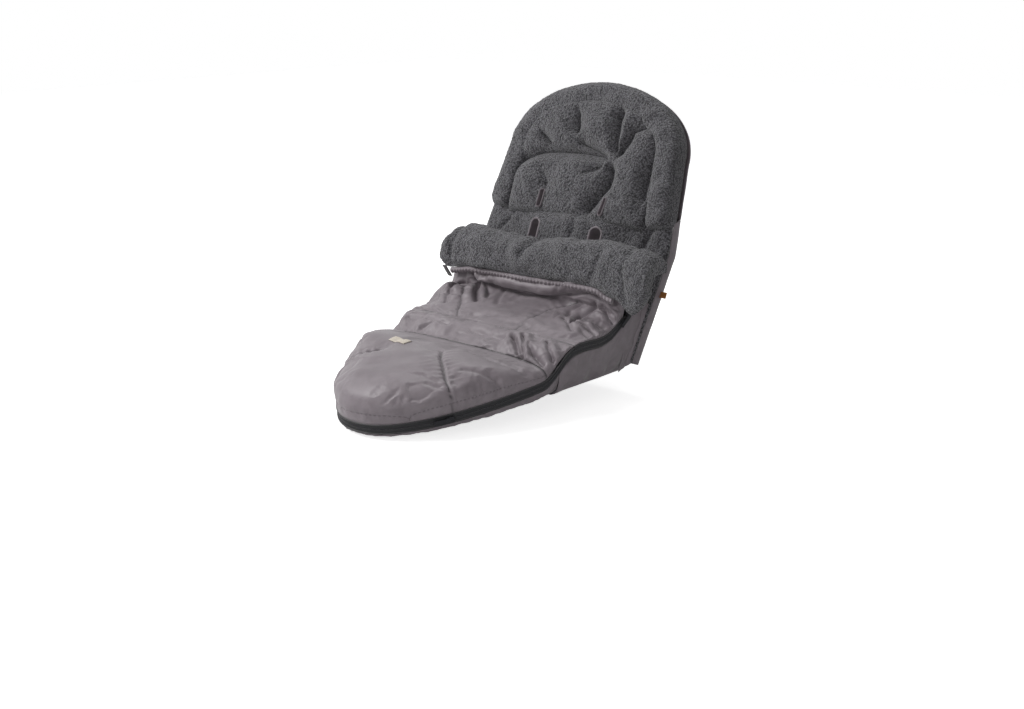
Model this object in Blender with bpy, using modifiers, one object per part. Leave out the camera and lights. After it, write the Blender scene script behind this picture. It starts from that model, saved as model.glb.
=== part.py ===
"""Padded stroller footmuff: teddy-lined back pad, seat tub, foot pocket, zipped apron and turned-down cuff.

Metres, +Z up. The foot end points along -Y and the head end along +Y. The origin is the middle of the
seat's underside. Each section is drafted flat, as it is cut and sewn, and is then turned on its fold line.
"""
import math

import bmesh
import bpy
from mathutils import Vector

# Layers and clearances
GAP = 0.0003
SEAM_GAP = 0.0005
CURVE_GAP = 0.0010
SKIN = 0.0015
BASE_WADDING = 0.008
BASE_PILE = 0.007
BASE_CROWN = 0.004
WALL_LINING = 0.0095
PANEL_WADDING = 0.006
PANEL_PILE = 0.0045
CUT_OVERRUN = 0.01

# Seat tub
SEAT_HALF = 0.205
SEAT_FRONT = 0.100
SEAT_REAR = 0.125
WALL_TUCK = 0.035
WALL_HEIGHT = 0.148
SEAT_SQUARENESS = 3.2
# Run of the zip along the seat: shares of the seat's length, and of the wall's height there
SEAT_ZIP_SHARES = ((-0.1, 0.27), (0.0, 0.36), (0.09, 0.46), (0.20, 0.525), (0.35, 0.535), (0.50, 0.525),
                   (0.62, 0.55), (0.72, 0.615), (1.10, 1.005), (1.30, 1.20))

# Foot pocket, drafted flat from the fold line to the toe
FOOT_HALF = SEAT_HALF
FOOT_LENGTH = 0.305
TOE_POWER_SHARE = 0.4545
TOE_FULLNESS_SHARE = 1.2
TOE_CORNER_SHARE = 0.42
FOOT_DROP = math.radians(8.0)
# Height of the foot zip over the sole: shares of the foot's length, and of the zip's height at the knee
FOOT_ZIP_HEIGHT = 0.031
FOOT_ZIP_SHARES = ((0.0, 1.70), (0.04, 1.38), (0.09, 1.08), (0.16, 1.0), (1.0, 0.65), (1.2, 0.6))
FOLD_FADE = 0.05
COVER_SEAM = 0.026
COVER_CROWN = 0.062
COVER_SEAM_SHARE = 0.47
COVER_SWELL_SHARE = -0.35
COVER_NOSE_SHARE = 0.15
CROWN_SQUARENESS = 3.2
DART_DEPTH = 0.003
# Puff of the foot cover: place in shares of the foot's half-width and length, reach, then height
COVER_PUFF = (-0.80, 0.22, 0.55, 0.016)
DART_SHARE = 0.05
COVER_DART_SHARES = ((0.14, 0.34), (0.55, 0.60), (0.80, 0.74))
KNEE_GAP_SHARE = 0.008
KNEE_PUFF = 0.004
KNEE_TAPE_SHARE = 0.85
FORM_DEPTH = 0.0075
WADDING_REACH = 0.62

# Zips
ZIP_TAPE = 0.009
ZIP_THICK = 0.003
SLIDER_LENGTH = 0.014
SLIDER_WIDTH = 0.010
SLIDER_HEIGHT = 0.0045
PULL_LENGTH = 0.030
PULL_WIDTH = 0.008
PULL_THICK = 0.0022
TEETH_GAP = 0.0006
ZIP_END_Y = 0.084
TOE_SLIDER_Q = 0.62

# Apron and cuff
APRON_HINGE = 0.060
APRON_TOP = 0.100
# Middle and side edge of the apron from hinge to cuff: shares of the way, then of its reach or its top
APRON_MID_Y_SHARES = ((0.0, -0.6), (0.16, -0.3), (0.34, 0.05), (0.5, 0.36), (0.6, 0.55), (0.68, 0.66),
                      (0.75, 0.625), (0.83, 0.64), (0.91, 0.76), (1.0, 0.98), (1.1, 1.22))
APRON_MID_Z_SHARES = ((0.0, 0.4496), (0.16, 0.4717), (0.34, 0.5012), (0.5, 0.5381), (0.6, 0.5651),
                      (0.68, 0.6069), (0.75, 0.6732), (0.83, 0.7617), (0.91, 0.855), (1.0, 1.0025),
                      (1.1, 1.1302))
APRON_SIDE_Y_SHARES = ((0.0, -0.6), (0.16, -0.34), (0.34, -0.03), (0.5, 0.28), (0.66, 0.62),
                       (0.78, 0.84), (0.88, 0.91), (1.0, 0.98), (1.1, 1.03))
APRON_SIDE_TOP = 0.2035
ZIP_END_SHARE = 0.76
SEAM_FRONT_X = 0.085
SEAM_REAR_X = 0.160
SEAM_DEPTH = 0.005
SEAM_WIDTH = 0.014
# Creases pressed into the apron: lines in shares of its half-width and its top, then depth and width
APRON_CREASES = (
    (((-0.86, 0.45), (-0.70, 0.10), (-0.62, -0.30)), 1.4, 0.16),
    (((0.98, 0.20), (0.72, 0.02)), 1.0, 0.12),
    (((0.96, 0.55), (0.66, 0.40)), 0.9, 0.12),
)
# Puffs of the apron: place in the same shares, reach, then height in metres
APRON_PUFFS = ((-0.88, 0.24, 0.52, 0.031), (0.66, 0.30, 0.42, 0.008))
CUFF_HALF = 0.256
CUFF_SHIFT = 0.028
CUFF_SPREAD = 0.92
CUFF_MID_Y = 0.076
CUFF_DEPTH = 0.033
CUFF_TOP_Z = 0.236
# Cuff along its width: shares of its half-width, and of its top's height
CUFF_TOP_SHARES = ((-1.0, 0.80), (-0.96, 0.93), (-0.86, 0.99), (-0.69, 0.995), (-0.4, 0.98), (-0.1, 0.97),
                   (0.20, 1.025), (0.45, 1.045), (0.70, 1.045), (0.88, 1.03), (0.96, 1.0), (1.0, 0.96))
CUFF_HEM_SHARES = ((-1.0, 0.70), (-0.96, 0.655), (-0.86, 0.66), (-0.70, 0.69), (-0.1, 0.70), (0.25, 0.715),
                   (0.54, 0.71), (0.62, 0.67), (0.74, 0.635), (0.86, 0.55), (0.95, 0.62), (1.0, 0.72))
# Section from the hem over the fold to the seam: shares of the way, then of the depth, and of the height
# with 0 at the hem, 1 at the seam and 2 at the fold's top
CUFF_OUTER_Y = ((0.0, -0.76), (0.14, -0.98), (0.30, -1.0), (0.46, -0.82), (0.62, -0.25), (0.74, 0.35),
                (0.86, 0.85), (1.0, 0.97))
CUFF_OUTER_Z = ((0.0, 0.0), (0.14, 0.33), (0.30, 0.76), (0.46, 1.41), (0.62, 1.94), (0.74, 2.0),
                (0.86, 1.65), (1.0, 1.02))
CUFF_INNER_Y = ((0.0, -0.42), (0.14, -0.38), (0.30, -0.30), (0.46, -0.14), (0.62, 0.08), (0.74, 0.35),
                (0.86, 0.60), (1.0, 0.80))
CUFF_INNER_Z = ((0.0, 0.06), (0.14, 0.39), (0.30, 0.70), (0.46, 0.93), (0.62, 1.02), (0.74, 1.02),
                (0.86, 1.02), (1.0, 1.02))
CUFF_SEAM_Z = 0.2042
CUFF_SEAM_SHARE = 0.69
HEM_HALF = 0.204
HEM_INSET_SHARE = 0.25
HEM_WIDTH = 0.010
HEM_GAP = 0.0017

# Back pad, drafted flat from the seat fold to the crown
BACK_RAISE = math.radians(68.0)
BACK_HALF_FOOT = 0.207
BACK_HALF_LOW = 0.230
BACK_HALF_HIGH = 0.208
BACK_SPRING = 0.404
BACK_RISE = 0.137
BACK_FOLD = 0.272
BACK_WADDING = 0.020
RIM_RADIUS = 0.0235
WAIST_EDGE = 0.004
WAIST_CROWN = 0.031
WAIST_MARGIN = 0.051
HEAD_CROWN = 0.026
HEAD_EDGE = 0.004
SLOT_WIDTH = 0.026
SLOT_HEIGHT = 0.056
SLOT_X = 0.076
SLOT_S = 0.222
SLIT_WIDTH = 0.0112
SLIT_HEIGHT = 0.038
SLIT_X = 0.078
SLIT_S = 0.291
LAP_X = 0.120
LAP_S = 0.052
LAP_HEIGHT = 0.045
LAP_WIDTH = 0.012
CROTCH_Y = 0.020
CROTCH_WIDTH = 0.050
CROTCH_LENGTH = 0.012
BINDING = 0.0018

# Small trim. The label lies on the foot cover between these shares of its width and length
LABEL_ACROSS = (-0.20, -0.07)
LABEL_OUT = (-0.72, -0.52)
LABEL_THICK = 0.0012
TAG_S = 0.150
TAG_WIDTH = 0.012
TAG_REACH = 0.014
TAG_LEVEL = 0.008
TAG_THICK = 0.0016
TAB_SHARE = 0.969
TAB_WIDTH = 0.010
TAB_LENGTH = 0.030
TAB_THICK = 0.0026
TAB_LEAN = math.radians(35.0)

BACK_WAIST = 0.225
WAIST_ROLL = 0.020
ARCH_SHARE = 0.34
RIM_START = 0.285
RIM_END_SHARE = 0.018
RIM_END_SCALE = 0.55
RIM_TAPER_SHARE = 0.10
RIM_EDGE = 0.004
RIM_HEIGHT = 0.032
HEAD_HALF = 0.160
HEAD_TOP = 0.491
HEAD_SPRING = 0.404
HEAD_CORNER_SHARE = 0.33
HEAD_FLOOR_SHARE = 0.12
SLIDER_Y = 0.098
BLOCK_ROUND_SHARE = 0.3
LABEL_LIFT = 0.0006
TAB_DROP = 0.0128
HEAD_CREASES = (
    (((-0.205, 0.327), (-0.168, 0.363), (-0.122, 0.386), (-0.080, 0.390), (-0.022, 0.393), (0.032, 0.392),
      (0.064, 0.383)), 0.55, 0.022),
    (((-0.030, 0.416), (-0.012, 0.409), (0.053, 0.385)), 0.8, 0.020),
    (((-0.047, 0.481), (-0.039, 0.444), (-0.029, 0.411)), 0.6, 0.018),
    (((0.066, 0.493), (0.057, 0.465), (0.064, 0.429), (0.080, 0.387)), 0.6, 0.018),
    (((0.160, 0.458), (0.122, 0.455), (0.099, 0.447), (0.087, 0.415), (0.081, 0.384)), 0.6, 0.018),
    (((-0.131, 0.424), (-0.110, 0.407), (-0.085, 0.393)), 0.6, 0.018),
    (((0.063, 0.383), (0.071, 0.353), (0.072, 0.332), (0.054, 0.305), (0.043, 0.285), (0.043, 0.267)), 0.75, 0.024),
    (((0.160, 0.440), (0.158, 0.405), (0.157, 0.363), (0.158, 0.325)), 0.7, 0.016),
)
HEAD_PUFFS = ((-0.105, 0.325, 0.080, 0.35), (0.112, 0.360, 0.055, 0.35), (0.010, 0.445, 0.045, 0.30),
              (0.120, 0.425, 0.030, 0.15), (-0.080, 0.430, 0.035, 0.20), (-0.010, 0.335, 0.050, 0.15))

BASE_TOP = SKIN + GAP + BASE_WADDING + GAP + BASE_PILE
BACK_START = BASE_TOP * math.sin(BACK_RAISE) + SEAM_GAP
LINING_BASE = BACK_WADDING + 2 * GAP
SHADE = {
    "shell": ((0.24, 0.22, 0.225), 0.42),
    "teddy": ((0.085, 0.085, 0.09), 0.95),
    "wadding": ((0.80, 0.80, 0.78), 0.95),
    "zip": ((0.018, 0.018, 0.020), 0.55),
    "metal": ((0.05, 0.05, 0.055), 0.30),
    "binding": ((0.20, 0.17, 0.16), 0.60),
    "label": ((0.72, 0.67, 0.60), 0.60),
    "tan": ((0.50, 0.24, 0.08), 0.55),
}
WHOLE = bpy.data.collections.new("stroller_footmuff")
CUTTERS = bpy.data.collections.new("cutters")


def clear_scene():
    for item in list(bpy.data.objects):
        bpy.data.objects.remove(item, do_unlink=True)
    bpy.context.scene.collection.children.link(WHOLE)
    bpy.context.scene.collection.children.link(CUTTERS)


def finish(node, kind):
    """Give a node its own material, of the named kind of cloth or metal."""
    colour, roughness = SHADE[kind]
    material = bpy.data.materials.new(node.name)
    material.use_nodes = True
    shader = material.node_tree.nodes["Principled BSDF"]
    shader.inputs["Base Color"].default_value = (*colour, 1.0)
    shader.inputs["Roughness"].default_value = roughness
    shader.inputs["Metallic"].default_value = 1.0 if kind == "metal" else 0.0
    node.data.materials.append(material)


def node_from(name, bm, kind, pivot=None, smooth=True):
    """Close a bmesh into a named object under its pivot."""
    bmesh.ops.recalc_face_normals(bm, faces=bm.faces[:])
    if bm.calc_volume(signed=True) < 0.0:
        bmesh.ops.reverse_faces(bm, faces=bm.faces[:])
    mesh = bpy.data.meshes.new(name)
    bm.to_mesh(mesh)
    bm.free()
    if smooth:
        mesh.shade_smooth()
        mesh.set_sharp_from_angle(angle=math.radians(40.0))
    node = bpy.data.objects.new(name, mesh)
    WHOLE.objects.link(node)
    node.parent = pivot
    finish(node, kind)
    return node


def pivot_at(name, place, turn):
    """An empty on a fold line. It is not a node."""
    empty = bpy.data.objects.new(name, None)
    empty.location = place
    empty.rotation_euler = (turn, 0.0, 0.0)
    WHOLE.objects.link(empty)
    return empty


def mix(a, b, share):
    return a + (b - a) * share


def ease(low, high, value):
    """Smooth step from 0 at low to 1 at high."""
    share = min(1.0, max(0.0, (value - low) / (high - low)))
    return share * share * (3.0 - 2.0 * share)


def along(points, share):
    """Read a run of (share, height) points, eased between neighbours by a cubic through them."""
    last = len(points) - 2
    index = 0
    while index < last and share > points[index + 1][0]:
        index += 1
    (a, fa), (b, fb) = points[index], points[index + 1]
    before = points[max(index - 1, 0)]
    after = points[min(index + 2, last + 1)]
    slope_a = (fb - before[1]) / (b - before[0])
    slope_b = (after[1] - fa) / (after[0] - a)
    t = min(1.0, max(0.0, (share - a) / (b - a)))
    width = b - a
    return ((1 + 2 * t) * (1 - t) ** 2 * fa + t * (1 - t) ** 2 * width * slope_a
            + t * t * (3 - 2 * t) * fb + t * t * (t - 1) * width * slope_b)


def layer(name, plan, low, high, cells, kind, pivot=None, flat=False):
    """A sewn layer: a grid laid over plan(u, v, depth), once for its underside and once for its face.
    low(u, v) and high(u, v) give the two depths. A flat underside loses its inner edges."""
    bm = bmesh.new()
    bmesh.ops.create_grid(bm, x_segments=cells[0], y_segments=cells[1], size=1.0)
    bmesh.ops.triangulate(bm, faces=bm.faces[:], quad_method="FIXED")
    under = bm.verts[:]
    grown = bmesh.ops.extrude_face_region(bm, geom=bm.faces[:])["geom"]
    over = {item for item in grown if isinstance(item, bmesh.types.BMVert)}
    for vert in bm.verts:
        u, v = vert.co.x, vert.co.y
        vert.co = plan(u, v, high(u, v) if vert in over else low(u, v))
    if flat:
        faces = [face for face in bm.faces if all(vert not in over for vert in face.verts)]
        edges = {edge for face in faces for edge in face.edges
                 if not any(vert in over for vert in edge.verts)}
        inner = [edge for edge in edges if all(face in faces for face in edge.link_faces)]
        bmesh.ops.dissolve_edges(bm, edges=inner, use_verts=False)
        loose = [vert for vert in under if vert.is_valid and not vert.link_faces]
        bmesh.ops.delete(bm, geom=loose, context="VERTS")
    return node_from(name, bm, kind, pivot)


def slab(name, outline, low, high, kind, pivot=None):
    """A flat cut of cloth or wadding: a filled outline given its thickness."""
    bm = bmesh.new()
    rim = [bm.verts.new((x, y, low)) for x, y in outline]
    face = bm.faces.new(rim)
    grown = bmesh.ops.extrude_face_region(bm, geom=[face])["geom"]
    lifted = [item for item in grown if isinstance(item, bmesh.types.BMVert)]
    bmesh.ops.translate(bm, verts=lifted, vec=(0.0, 0.0, high - low))
    return node_from(name, bm, kind, pivot, smooth=False)


def oval(width, height, x, y, count=16):
    """Outline of a slot with round ends, upright along y, or lying along x where it is wider."""
    points = []
    radius = min(width, height) / 2
    straight = max(width, height) / 2 - radius
    for index in range(count):
        angle = 2 * math.pi * (index + 0.5) / count
        across, up = radius * math.cos(angle), radius * math.sin(angle)
        if height >= width:
            points.append((x + across, y + up + math.copysign(straight, up)))
        else:
            points.append((x + across + math.copysign(straight, across), y + up))
    return points


def cut_through(node, outline, low, high, pivot=None):
    """Cut a slot of the given outline out of a node, from low to high."""
    bm = bmesh.new()
    rim = [bm.verts.new((x, y, low)) for x, y in outline]
    face = bm.faces.new(rim)
    grown = bmesh.ops.extrude_face_region(bm, geom=[face])["geom"]
    lifted = [item for item in grown if isinstance(item, bmesh.types.BMVert)]
    bmesh.ops.translate(bm, verts=lifted, vec=(0.0, 0.0, high - low))
    bmesh.ops.recalc_face_normals(bm, faces=bm.faces[:])
    mesh = bpy.data.meshes.new(node.name + "_slot")
    bm.to_mesh(mesh)
    bm.free()
    cutter = bpy.data.objects.new(node.name + "_slot", mesh)
    cutter.parent = pivot
    cutter.hide_render = True
    cutter.display_type = "WIRE"
    CUTTERS.objects.link(cutter)
    modifier = node.modifiers.new("slot", "BOOLEAN")
    modifier.operation = "DIFFERENCE"
    modifier.solver = "EXACT"
    modifier.object = cutter


def sleeve(name, slots, low, high, pivot=None):
    """Bound edges of slots: a thin oval sleeve from low up to high(x, y) for each (width, height, x, y)."""
    bm = bmesh.new()
    for width, height, x, y in slots:
        outer = oval(width, height, x, y)
        inner = oval(width - 2 * BINDING, height - 2 * BINDING, x, y)
        count = len(outer)
        rings = [[bm.verts.new((*point, level(*point))) for point in outline]
                 for outline, level in ((outer, lambda x, y: low), (outer, high),
                                        (inner, high), (inner, lambda x, y: low))]
        for ring, above in zip(rings, rings[1:] + rings[:1]):
            for index in range(count):
                after = (index + 1) % count
                bm.faces.new((ring[index], ring[after], above[after], above[index]))
    return node_from(name, bm, "binding", pivot, smooth=False)


# Seat tub: a flat base pad between two upright side walls

def seat_zip(y):
    """Height of the side zip's middle over the seat's underside."""
    return WALL_HEIGHT * along(SEAT_ZIP_SHARES, (y + SEAT_FRONT) / (SEAT_FRONT + SEAT_REAR))


def rear_limit(z):
    """Where the side wall meets the back pad's flat margin."""
    margin = LINING_BASE + WAIST_EDGE + SEAM_GAP
    return SEAT_REAR + z / math.tan(BACK_RAISE) - margin / math.sin(BACK_RAISE)


def section(share, tuck, height, squareness, depth):
    """Wall section from the base's edge, tucked in, round and up to the zip: (inset, rise) at a depth."""
    angle = share * math.pi / 2
    power = 2.0 / squareness
    out = math.sin(angle) ** power
    up = max(0.0, math.cos(angle)) ** power
    return tuck - (tuck - depth) * out, height - (height - depth) * up


def seat_wall_plan(side):
    """Seat side wall: u runs front to rear, v from the base up to the zip."""
    front = -SEAT_FRONT + SEAM_GAP / 2

    def plan(u, v, depth):
        y, rise = front, 0.0
        for _ in range(4):
            y = mix(front, rear_limit(rise), (u + 1) / 2)
            inset, rise = section((v + 1) / 2, WALL_TUCK, seat_zip(y) - ZIP_TAPE, SEAT_SQUARENESS, depth)
        return Vector((side * (SEAT_HALF - inset), y, rise))
    return plan


def build_seat():
    half = SEAT_HALF - WALL_TUCK - GAP
    front, rear = -SEAT_FRONT + SEAM_GAP / 2, SEAT_REAR - GAP
    outline = ((-half, front), (half, front), (half, rear), (-half, rear))
    shell = slab("seat_shell", outline, 0.0, SKIN, "shell")
    wadding_top = SKIN + GAP + BASE_WADDING
    wadding = slab("seat_wadding", outline, SKIN + GAP, wadding_top, "wadding")

    def plan(u, v, height):
        return Vector((half * u, mix(front, rear, (v + 1) / 2), wadding_top + GAP + height))

    def face(u, v):
        return BASE_PILE + BASE_CROWN * (1 - u ** 4) * (1 - v ** 4)

    lining = layer("seat_lining", plan, lambda u, v: 0.0, face, (12, 8), "teddy", flat=True)
    top = wadding_top + GAP + BASE_PILE + BASE_CROWN
    for node in (shell, wadding, lining):
        cut_through(node, oval(CROTCH_WIDTH, CROTCH_LENGTH, 0.0, CROTCH_Y), -CUT_OVERRUN, top + CUT_OVERRUN)
    bound = CROTCH_WIDTH - 2 * GAP, CROTCH_LENGTH - 2 * GAP, 0.0, CROTCH_Y
    sleeve("crotch_slot_binding", [bound], GAP, lambda x, y: top)
    for side, word in ((1, "right"), (-1, "left")):
        plan = seat_wall_plan(side)
        layer(word + "_wall_shell", plan, lambda u, v: SKIN, lambda u, v: 0.0, (12, 6), "shell")
        layer(word + "_wall_lining", plan, lambda u, v: SKIN + GAP + WALL_LINING, lambda u, v: SKIN + GAP,
              (12, 6), "teddy")


def side_tape_plan(side, front, rear, low, high):
    """Ribbon on the outside of the seat side: u runs front to rear, v across the tape, upright."""
    def plan(u, v, depth):
        level = seat_zip(front) + mix(low, high, (v + 1) / 2)
        for _ in range(4):
            y = mix(front, rear(level), (u + 1) / 2)
            level = seat_zip(y) + mix(low, high, (v + 1) / 2)
        return Vector((side * (SEAT_HALF - depth), y, level))
    return plan


def tape(name, plan, cells, pivot=None):
    layer(name, plan, lambda u, v: ZIP_THICK, lambda u, v: 0.0, (cells, 1), "zip", pivot)


def build_side_zips():
    for side, word in ((1, "right"), (-1, "left")):
        lower = side_tape_plan(side, -SEAT_FRONT + SEAM_GAP / 2, rear_limit, -ZIP_TAPE + CURVE_GAP, -TEETH_GAP)
        tape(word + "_lower_zip_tape", lower, 22)
        upper = side_tape_plan(side, -APRON_HINGE + SEAM_GAP, lambda level: ZIP_END_Y, TEETH_GAP, ZIP_TAPE)
        tape(word + "_upper_zip_tape", upper, 16)


# Foot pocket, drafted flat: sole, walls round the toe and the zip

def foot_zip(run):
    """Height of the foot zip's middle over the sole, at a distance from the fold line."""
    return FOOT_ZIP_HEIGHT * along(FOOT_ZIP_SHARES, max(run, 0.0) / FOOT_LENGTH)


def foot_edge(q, inset):
    """Outline round the toe: q is -1 and 1 at the fold line and 0 at the toe. Gives x, run and outward."""
    def raw(value):
        run = FOOT_LENGTH * max(0.0, 1.0 - value * value) ** (1.0 / TOE_FULLNESS_SHARE)
        return math.copysign(FOOT_HALF * abs(value) ** (2 * TOE_POWER_SHARE), value), run
    step = 0.01
    (xa, ra), (xb, rb) = raw(max(q - step, -1.0)), raw(min(q + step, 1.0))
    fade = 1.0 - ease(0.80, 1.0, abs(q))
    outward = Vector((ra - rb, (xb - xa) * fade)).normalized()
    x, run = raw(q)
    return x - outward.x * inset, run - outward.y * inset, outward


def stand(run, rise):
    """Lean of the foot pocket's rear end, which stands upright against the seat on the fold line."""
    return rise * math.tan(FOOT_DROP) * (1.0 - ease(0.0, FOLD_FADE, run))


def foot_patch(u, v, inset, reach, corner):
    """Foot plan: u across, v from the rear line at reach to the toe between the corners. Gives x, run."""
    across, out = (u + 1) / 2, (v + 1) / 2

    def edge(q):
        return Vector(foot_edge(q, inset)[:2])
    left, right = edge(mix(-reach, -corner, out)), edge(mix(reach, corner, out))
    near = edge(-reach).lerp(edge(reach), across)
    far = edge(mix(-corner, corner, across))
    flat = near.lerp(edge(-corner).lerp(edge(corner), across), out)
    return left.lerp(right, across) + near.lerp(far, out) - flat


def foot_wall_plan(u, v, depth):
    """Foot wall: u runs round the toe, v from the sole up to the zip."""
    q = math.sin(u * math.pi / 2)
    _, run, _ = foot_edge(q, 0.0)
    inset, rise = section((v + 1) / 2, WALL_TUCK, foot_zip(run) - ZIP_TAPE, 2.0, depth)
    x, run, _ = foot_edge(q, inset)
    run = max(run, 0.0)
    return Vector((x, stand(run, rise) - run - SEAM_GAP / 2, rise))


def build_foot(fold):
    inset = WALL_TUCK + CURVE_GAP
    count = 28
    outline = []
    for index in range(count + 1):
        x, run, _ = foot_edge(math.sin((1.0 - 2.0 * index / count) * math.pi / 2), inset)
        outline.append((x, -max(run, 0.0) - SEAM_GAP / 2))
    slab("sole_shell", outline, 0.0, SKIN, "shell", fold)
    wadding_top = SKIN + GAP + BASE_WADDING
    slab("sole_wadding", outline, SKIN + GAP, wadding_top, "wadding", fold)

    def plan(u, v, height):
        flat = foot_patch(u, v, inset, 1.0, TOE_CORNER_SHARE)
        return Vector((flat.x, -max(flat.y, 0.0) - SEAM_GAP / 2, wadding_top + GAP + height))

    def face(u, v):
        return BASE_PILE + BASE_CROWN * (1 - u ** 4) * (1 - v ** 4)

    layer("sole_lining", plan, lambda u, v: 0.0, face, (10, 8), "teddy", fold, flat=True)
    layer("foot_wall_shell", foot_wall_plan, lambda u, v: SKIN, lambda u, v: 0.0, (28, 4), "shell", fold)
    layer("foot_wall_lining", foot_wall_plan, lambda u, v: SKIN + GAP + WALL_LINING,
          lambda u, v: SKIN + GAP, (28, 4), "teddy", fold)


def foot_tape_plan(low, high, reach):
    """Ribbon round the toe on the outside of the foot. reach is the outline's q at its two ends."""
    def plan(u, v, depth):
        q = math.sin(u * math.asin(reach))
        x, run, _ = foot_edge(q, depth)
        level = foot_zip(foot_edge(q, 0.0)[1]) + mix(low, high, (v + 1) / 2)
        return Vector((x, stand(run, level) - max(run, 0.0) - SEAM_GAP / 2, level))
    return plan


COVER_REACH = math.sqrt(1.0 - (COVER_SEAM / FOOT_LENGTH) ** TOE_FULLNESS_SHARE)


def build_foot_zip(fold):
    tape("toe_lower_zip_tape", foot_tape_plan(-ZIP_TAPE + CURVE_GAP, -TEETH_GAP, 1.0), 40, fold)
    tape("toe_upper_zip_tape", foot_tape_plan(TEETH_GAP, ZIP_TAPE, COVER_REACH), 40, fold)


# Foot cover, apron and knee panel: puffed panels between the zips. Each layer is a dome nested in the next

def round_off(share):
    """Superellipse quarter from a crown at 0 to an edge at 1 or -1: (reach, height)."""
    angle = share * math.pi / 2
    power = 2.0 / CROWN_SQUARENESS
    reach = math.copysign(abs(math.sin(angle)) ** power, angle)
    return reach, max(0.0, math.cos(angle)) ** power


def groove(x, y, line, width):
    """1 on a crease drawn as a run of points, falling to 0 over its width."""
    best = 1.0
    for (xa, ya), (xb, yb) in zip(line, line[1:]):
        dx, dy = xb - xa, yb - ya
        share = min(1.0, max(0.0, ((x - xa) * dx + (y - ya) * dy) / (dx * dx + dy * dy)))
        best = min(best, math.hypot(x - xa - dx * share, y - ya - dy * share))
    return 1.0 - ease(0.0, width, best)


def cover_plan(u, v, depth):
    """Foot cover in the foot's own frame: u across, v from the knee seam to the toe."""
    across, rise_across = round_off(u)
    if v < 0.0:
        out, edge_out = mix(-1.0, COVER_NOSE_SHARE, v + 1.0), 1.0
    else:
        reach, edge_out = round_off(v)
        out = mix(COVER_NOSE_SHARE, 1.0, reach)
    flat = foot_patch(across, out, depth, COVER_REACH, TOE_CORNER_SHARE)
    swell = min(1.0, (out + 1.0) / (COVER_SWELL_SHARE + 1.0))
    lift = mix(COVER_SEAM_SHARE, 1.0, math.sin(swell * math.pi / 2))
    level = foot_zip(flat.y) + ZIP_TAPE + GAP
    crown = (COVER_CROWN * lift - depth) * rise_across * edge_out
    level += crown
    return Vector((flat.x, stand(flat.y, level) - flat.y - SEAM_GAP / 2, level))


def cover_form(place):
    """Lift of the cover's face: the dart at the right, and the puff at the left."""
    x, run = place.x / FOOT_HALF, -place.y / FOOT_LENGTH
    px, pr, reach, height = COVER_PUFF
    puff = height * (1.0 - ease(0.0, reach, math.hypot(x - px, run - pr)))
    return puff - DART_DEPTH * groove(x, run, COVER_DART_SHARES, DART_SHARE)


def apron_profile(v):
    """Apron's middle, from the hinge seam to the cuff: place (y, z) and the way out of the cloth."""
    def read(share):
        return Vector((APRON_TOP * along(APRON_MID_Y_SHARES, share),
                       APRON_SIDE_TOP * along(APRON_MID_Z_SHARES, share)))
    share = (v + 1) / 2
    step = 0.02
    run = read(share + step) - read(share - step)
    return read(share), Vector((-run.y, run.x)).normalized()


def apron_edge(v):
    """Apron's side edge: along the zip, then free up to the cuff."""
    share = (v + 1) / 2
    y = APRON_TOP * along(APRON_SIDE_Y_SHARES, share)
    free = ease(ZIP_END_SHARE, 1.0, share)
    return Vector((y, mix(seat_zip(y) + ZIP_TAPE + GAP, APRON_SIDE_TOP, free)))


def apron_form(place):
    """Lift of the apron's face: two princess seams and the creases pressed by the lap."""
    lift = 0.0
    for side in (-1, 1):
        seam = ((side * SEAM_FRONT_X, -APRON_HINGE), (side * SEAM_REAR_X, APRON_TOP))
        lift -= SEAM_DEPTH * groove(place.x, place.y, seam, SEAM_WIDTH)
    x, y = place.x / SEAT_HALF, place.y / APRON_TOP
    for line, depth, width in APRON_CREASES:
        lift -= SEAM_DEPTH * depth * groove(x, y, line, width)
    lift = max(lift, SKIN - FORM_DEPTH)
    for px, py, reach, height in APRON_PUFFS:
        lift += height * (1.0 - ease(0.0, reach, math.hypot(x - px, y - py)))
    return lift


def apron_plan(u, v, depth):
    """Apron: u across, v from the hinge seam to the cuff. It thins out over the zip at its two sides."""
    across, rise = round_off(u)
    middle, out = apron_profile(v)
    edge = apron_edge(v)
    side = ease(WADDING_REACH, 1.0, abs(u))
    place = edge.lerp(middle, rise) - out * depth * (1.0 - side)
    return Vector(((SEAT_HALF - min(depth, ZIP_THICK) * side) * across, place.x, place.y))


def to_row(place):
    """From the foot's own frame to the seat's."""
    c, s = math.cos(FOOT_DROP), math.sin(FOOT_DROP)
    return Vector((place.x, place.y * c - place.z * s - SEAT_FRONT, place.y * s + place.z * c))


def knee_zip(share):
    """Place (y, z) of the zip's middle under the knee panel, from the cover's seam to the apron's."""
    y = mix(to_row(Vector((0.0, -COVER_SEAM, 0.0))).y, -APRON_HINGE, share)
    run = (-SEAT_FRONT - y) / math.cos(FOOT_DROP)
    if run > 0.0:
        level = foot_zip(run)
        place = to_row(Vector((0.0, stand(run, level) - run, level)))
        return Vector((place.y, place.z))
    return Vector((y, seat_zip(y)))


def knee_plan(u, v, depth):
    """Knee panel: it joins the cover's seam to the apron's."""
    share = mix(KNEE_GAP_SHARE, 1.0 - KNEE_GAP_SHARE, (v + 1) / 2)
    front = to_row(cover_plan(u, -1.0, depth))
    rear = apron_plan(u, -1.0, depth)
    place = front.lerp(rear, share)
    straight = knee_zip(0.0).lerp(knee_zip(1.0), share)
    shift = knee_zip(share) - straight
    puff = KNEE_PUFF * math.sin(math.pi * share) * round_off(u)[1]
    return place + Vector((0.0, shift.x, shift.y + puff))


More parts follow.
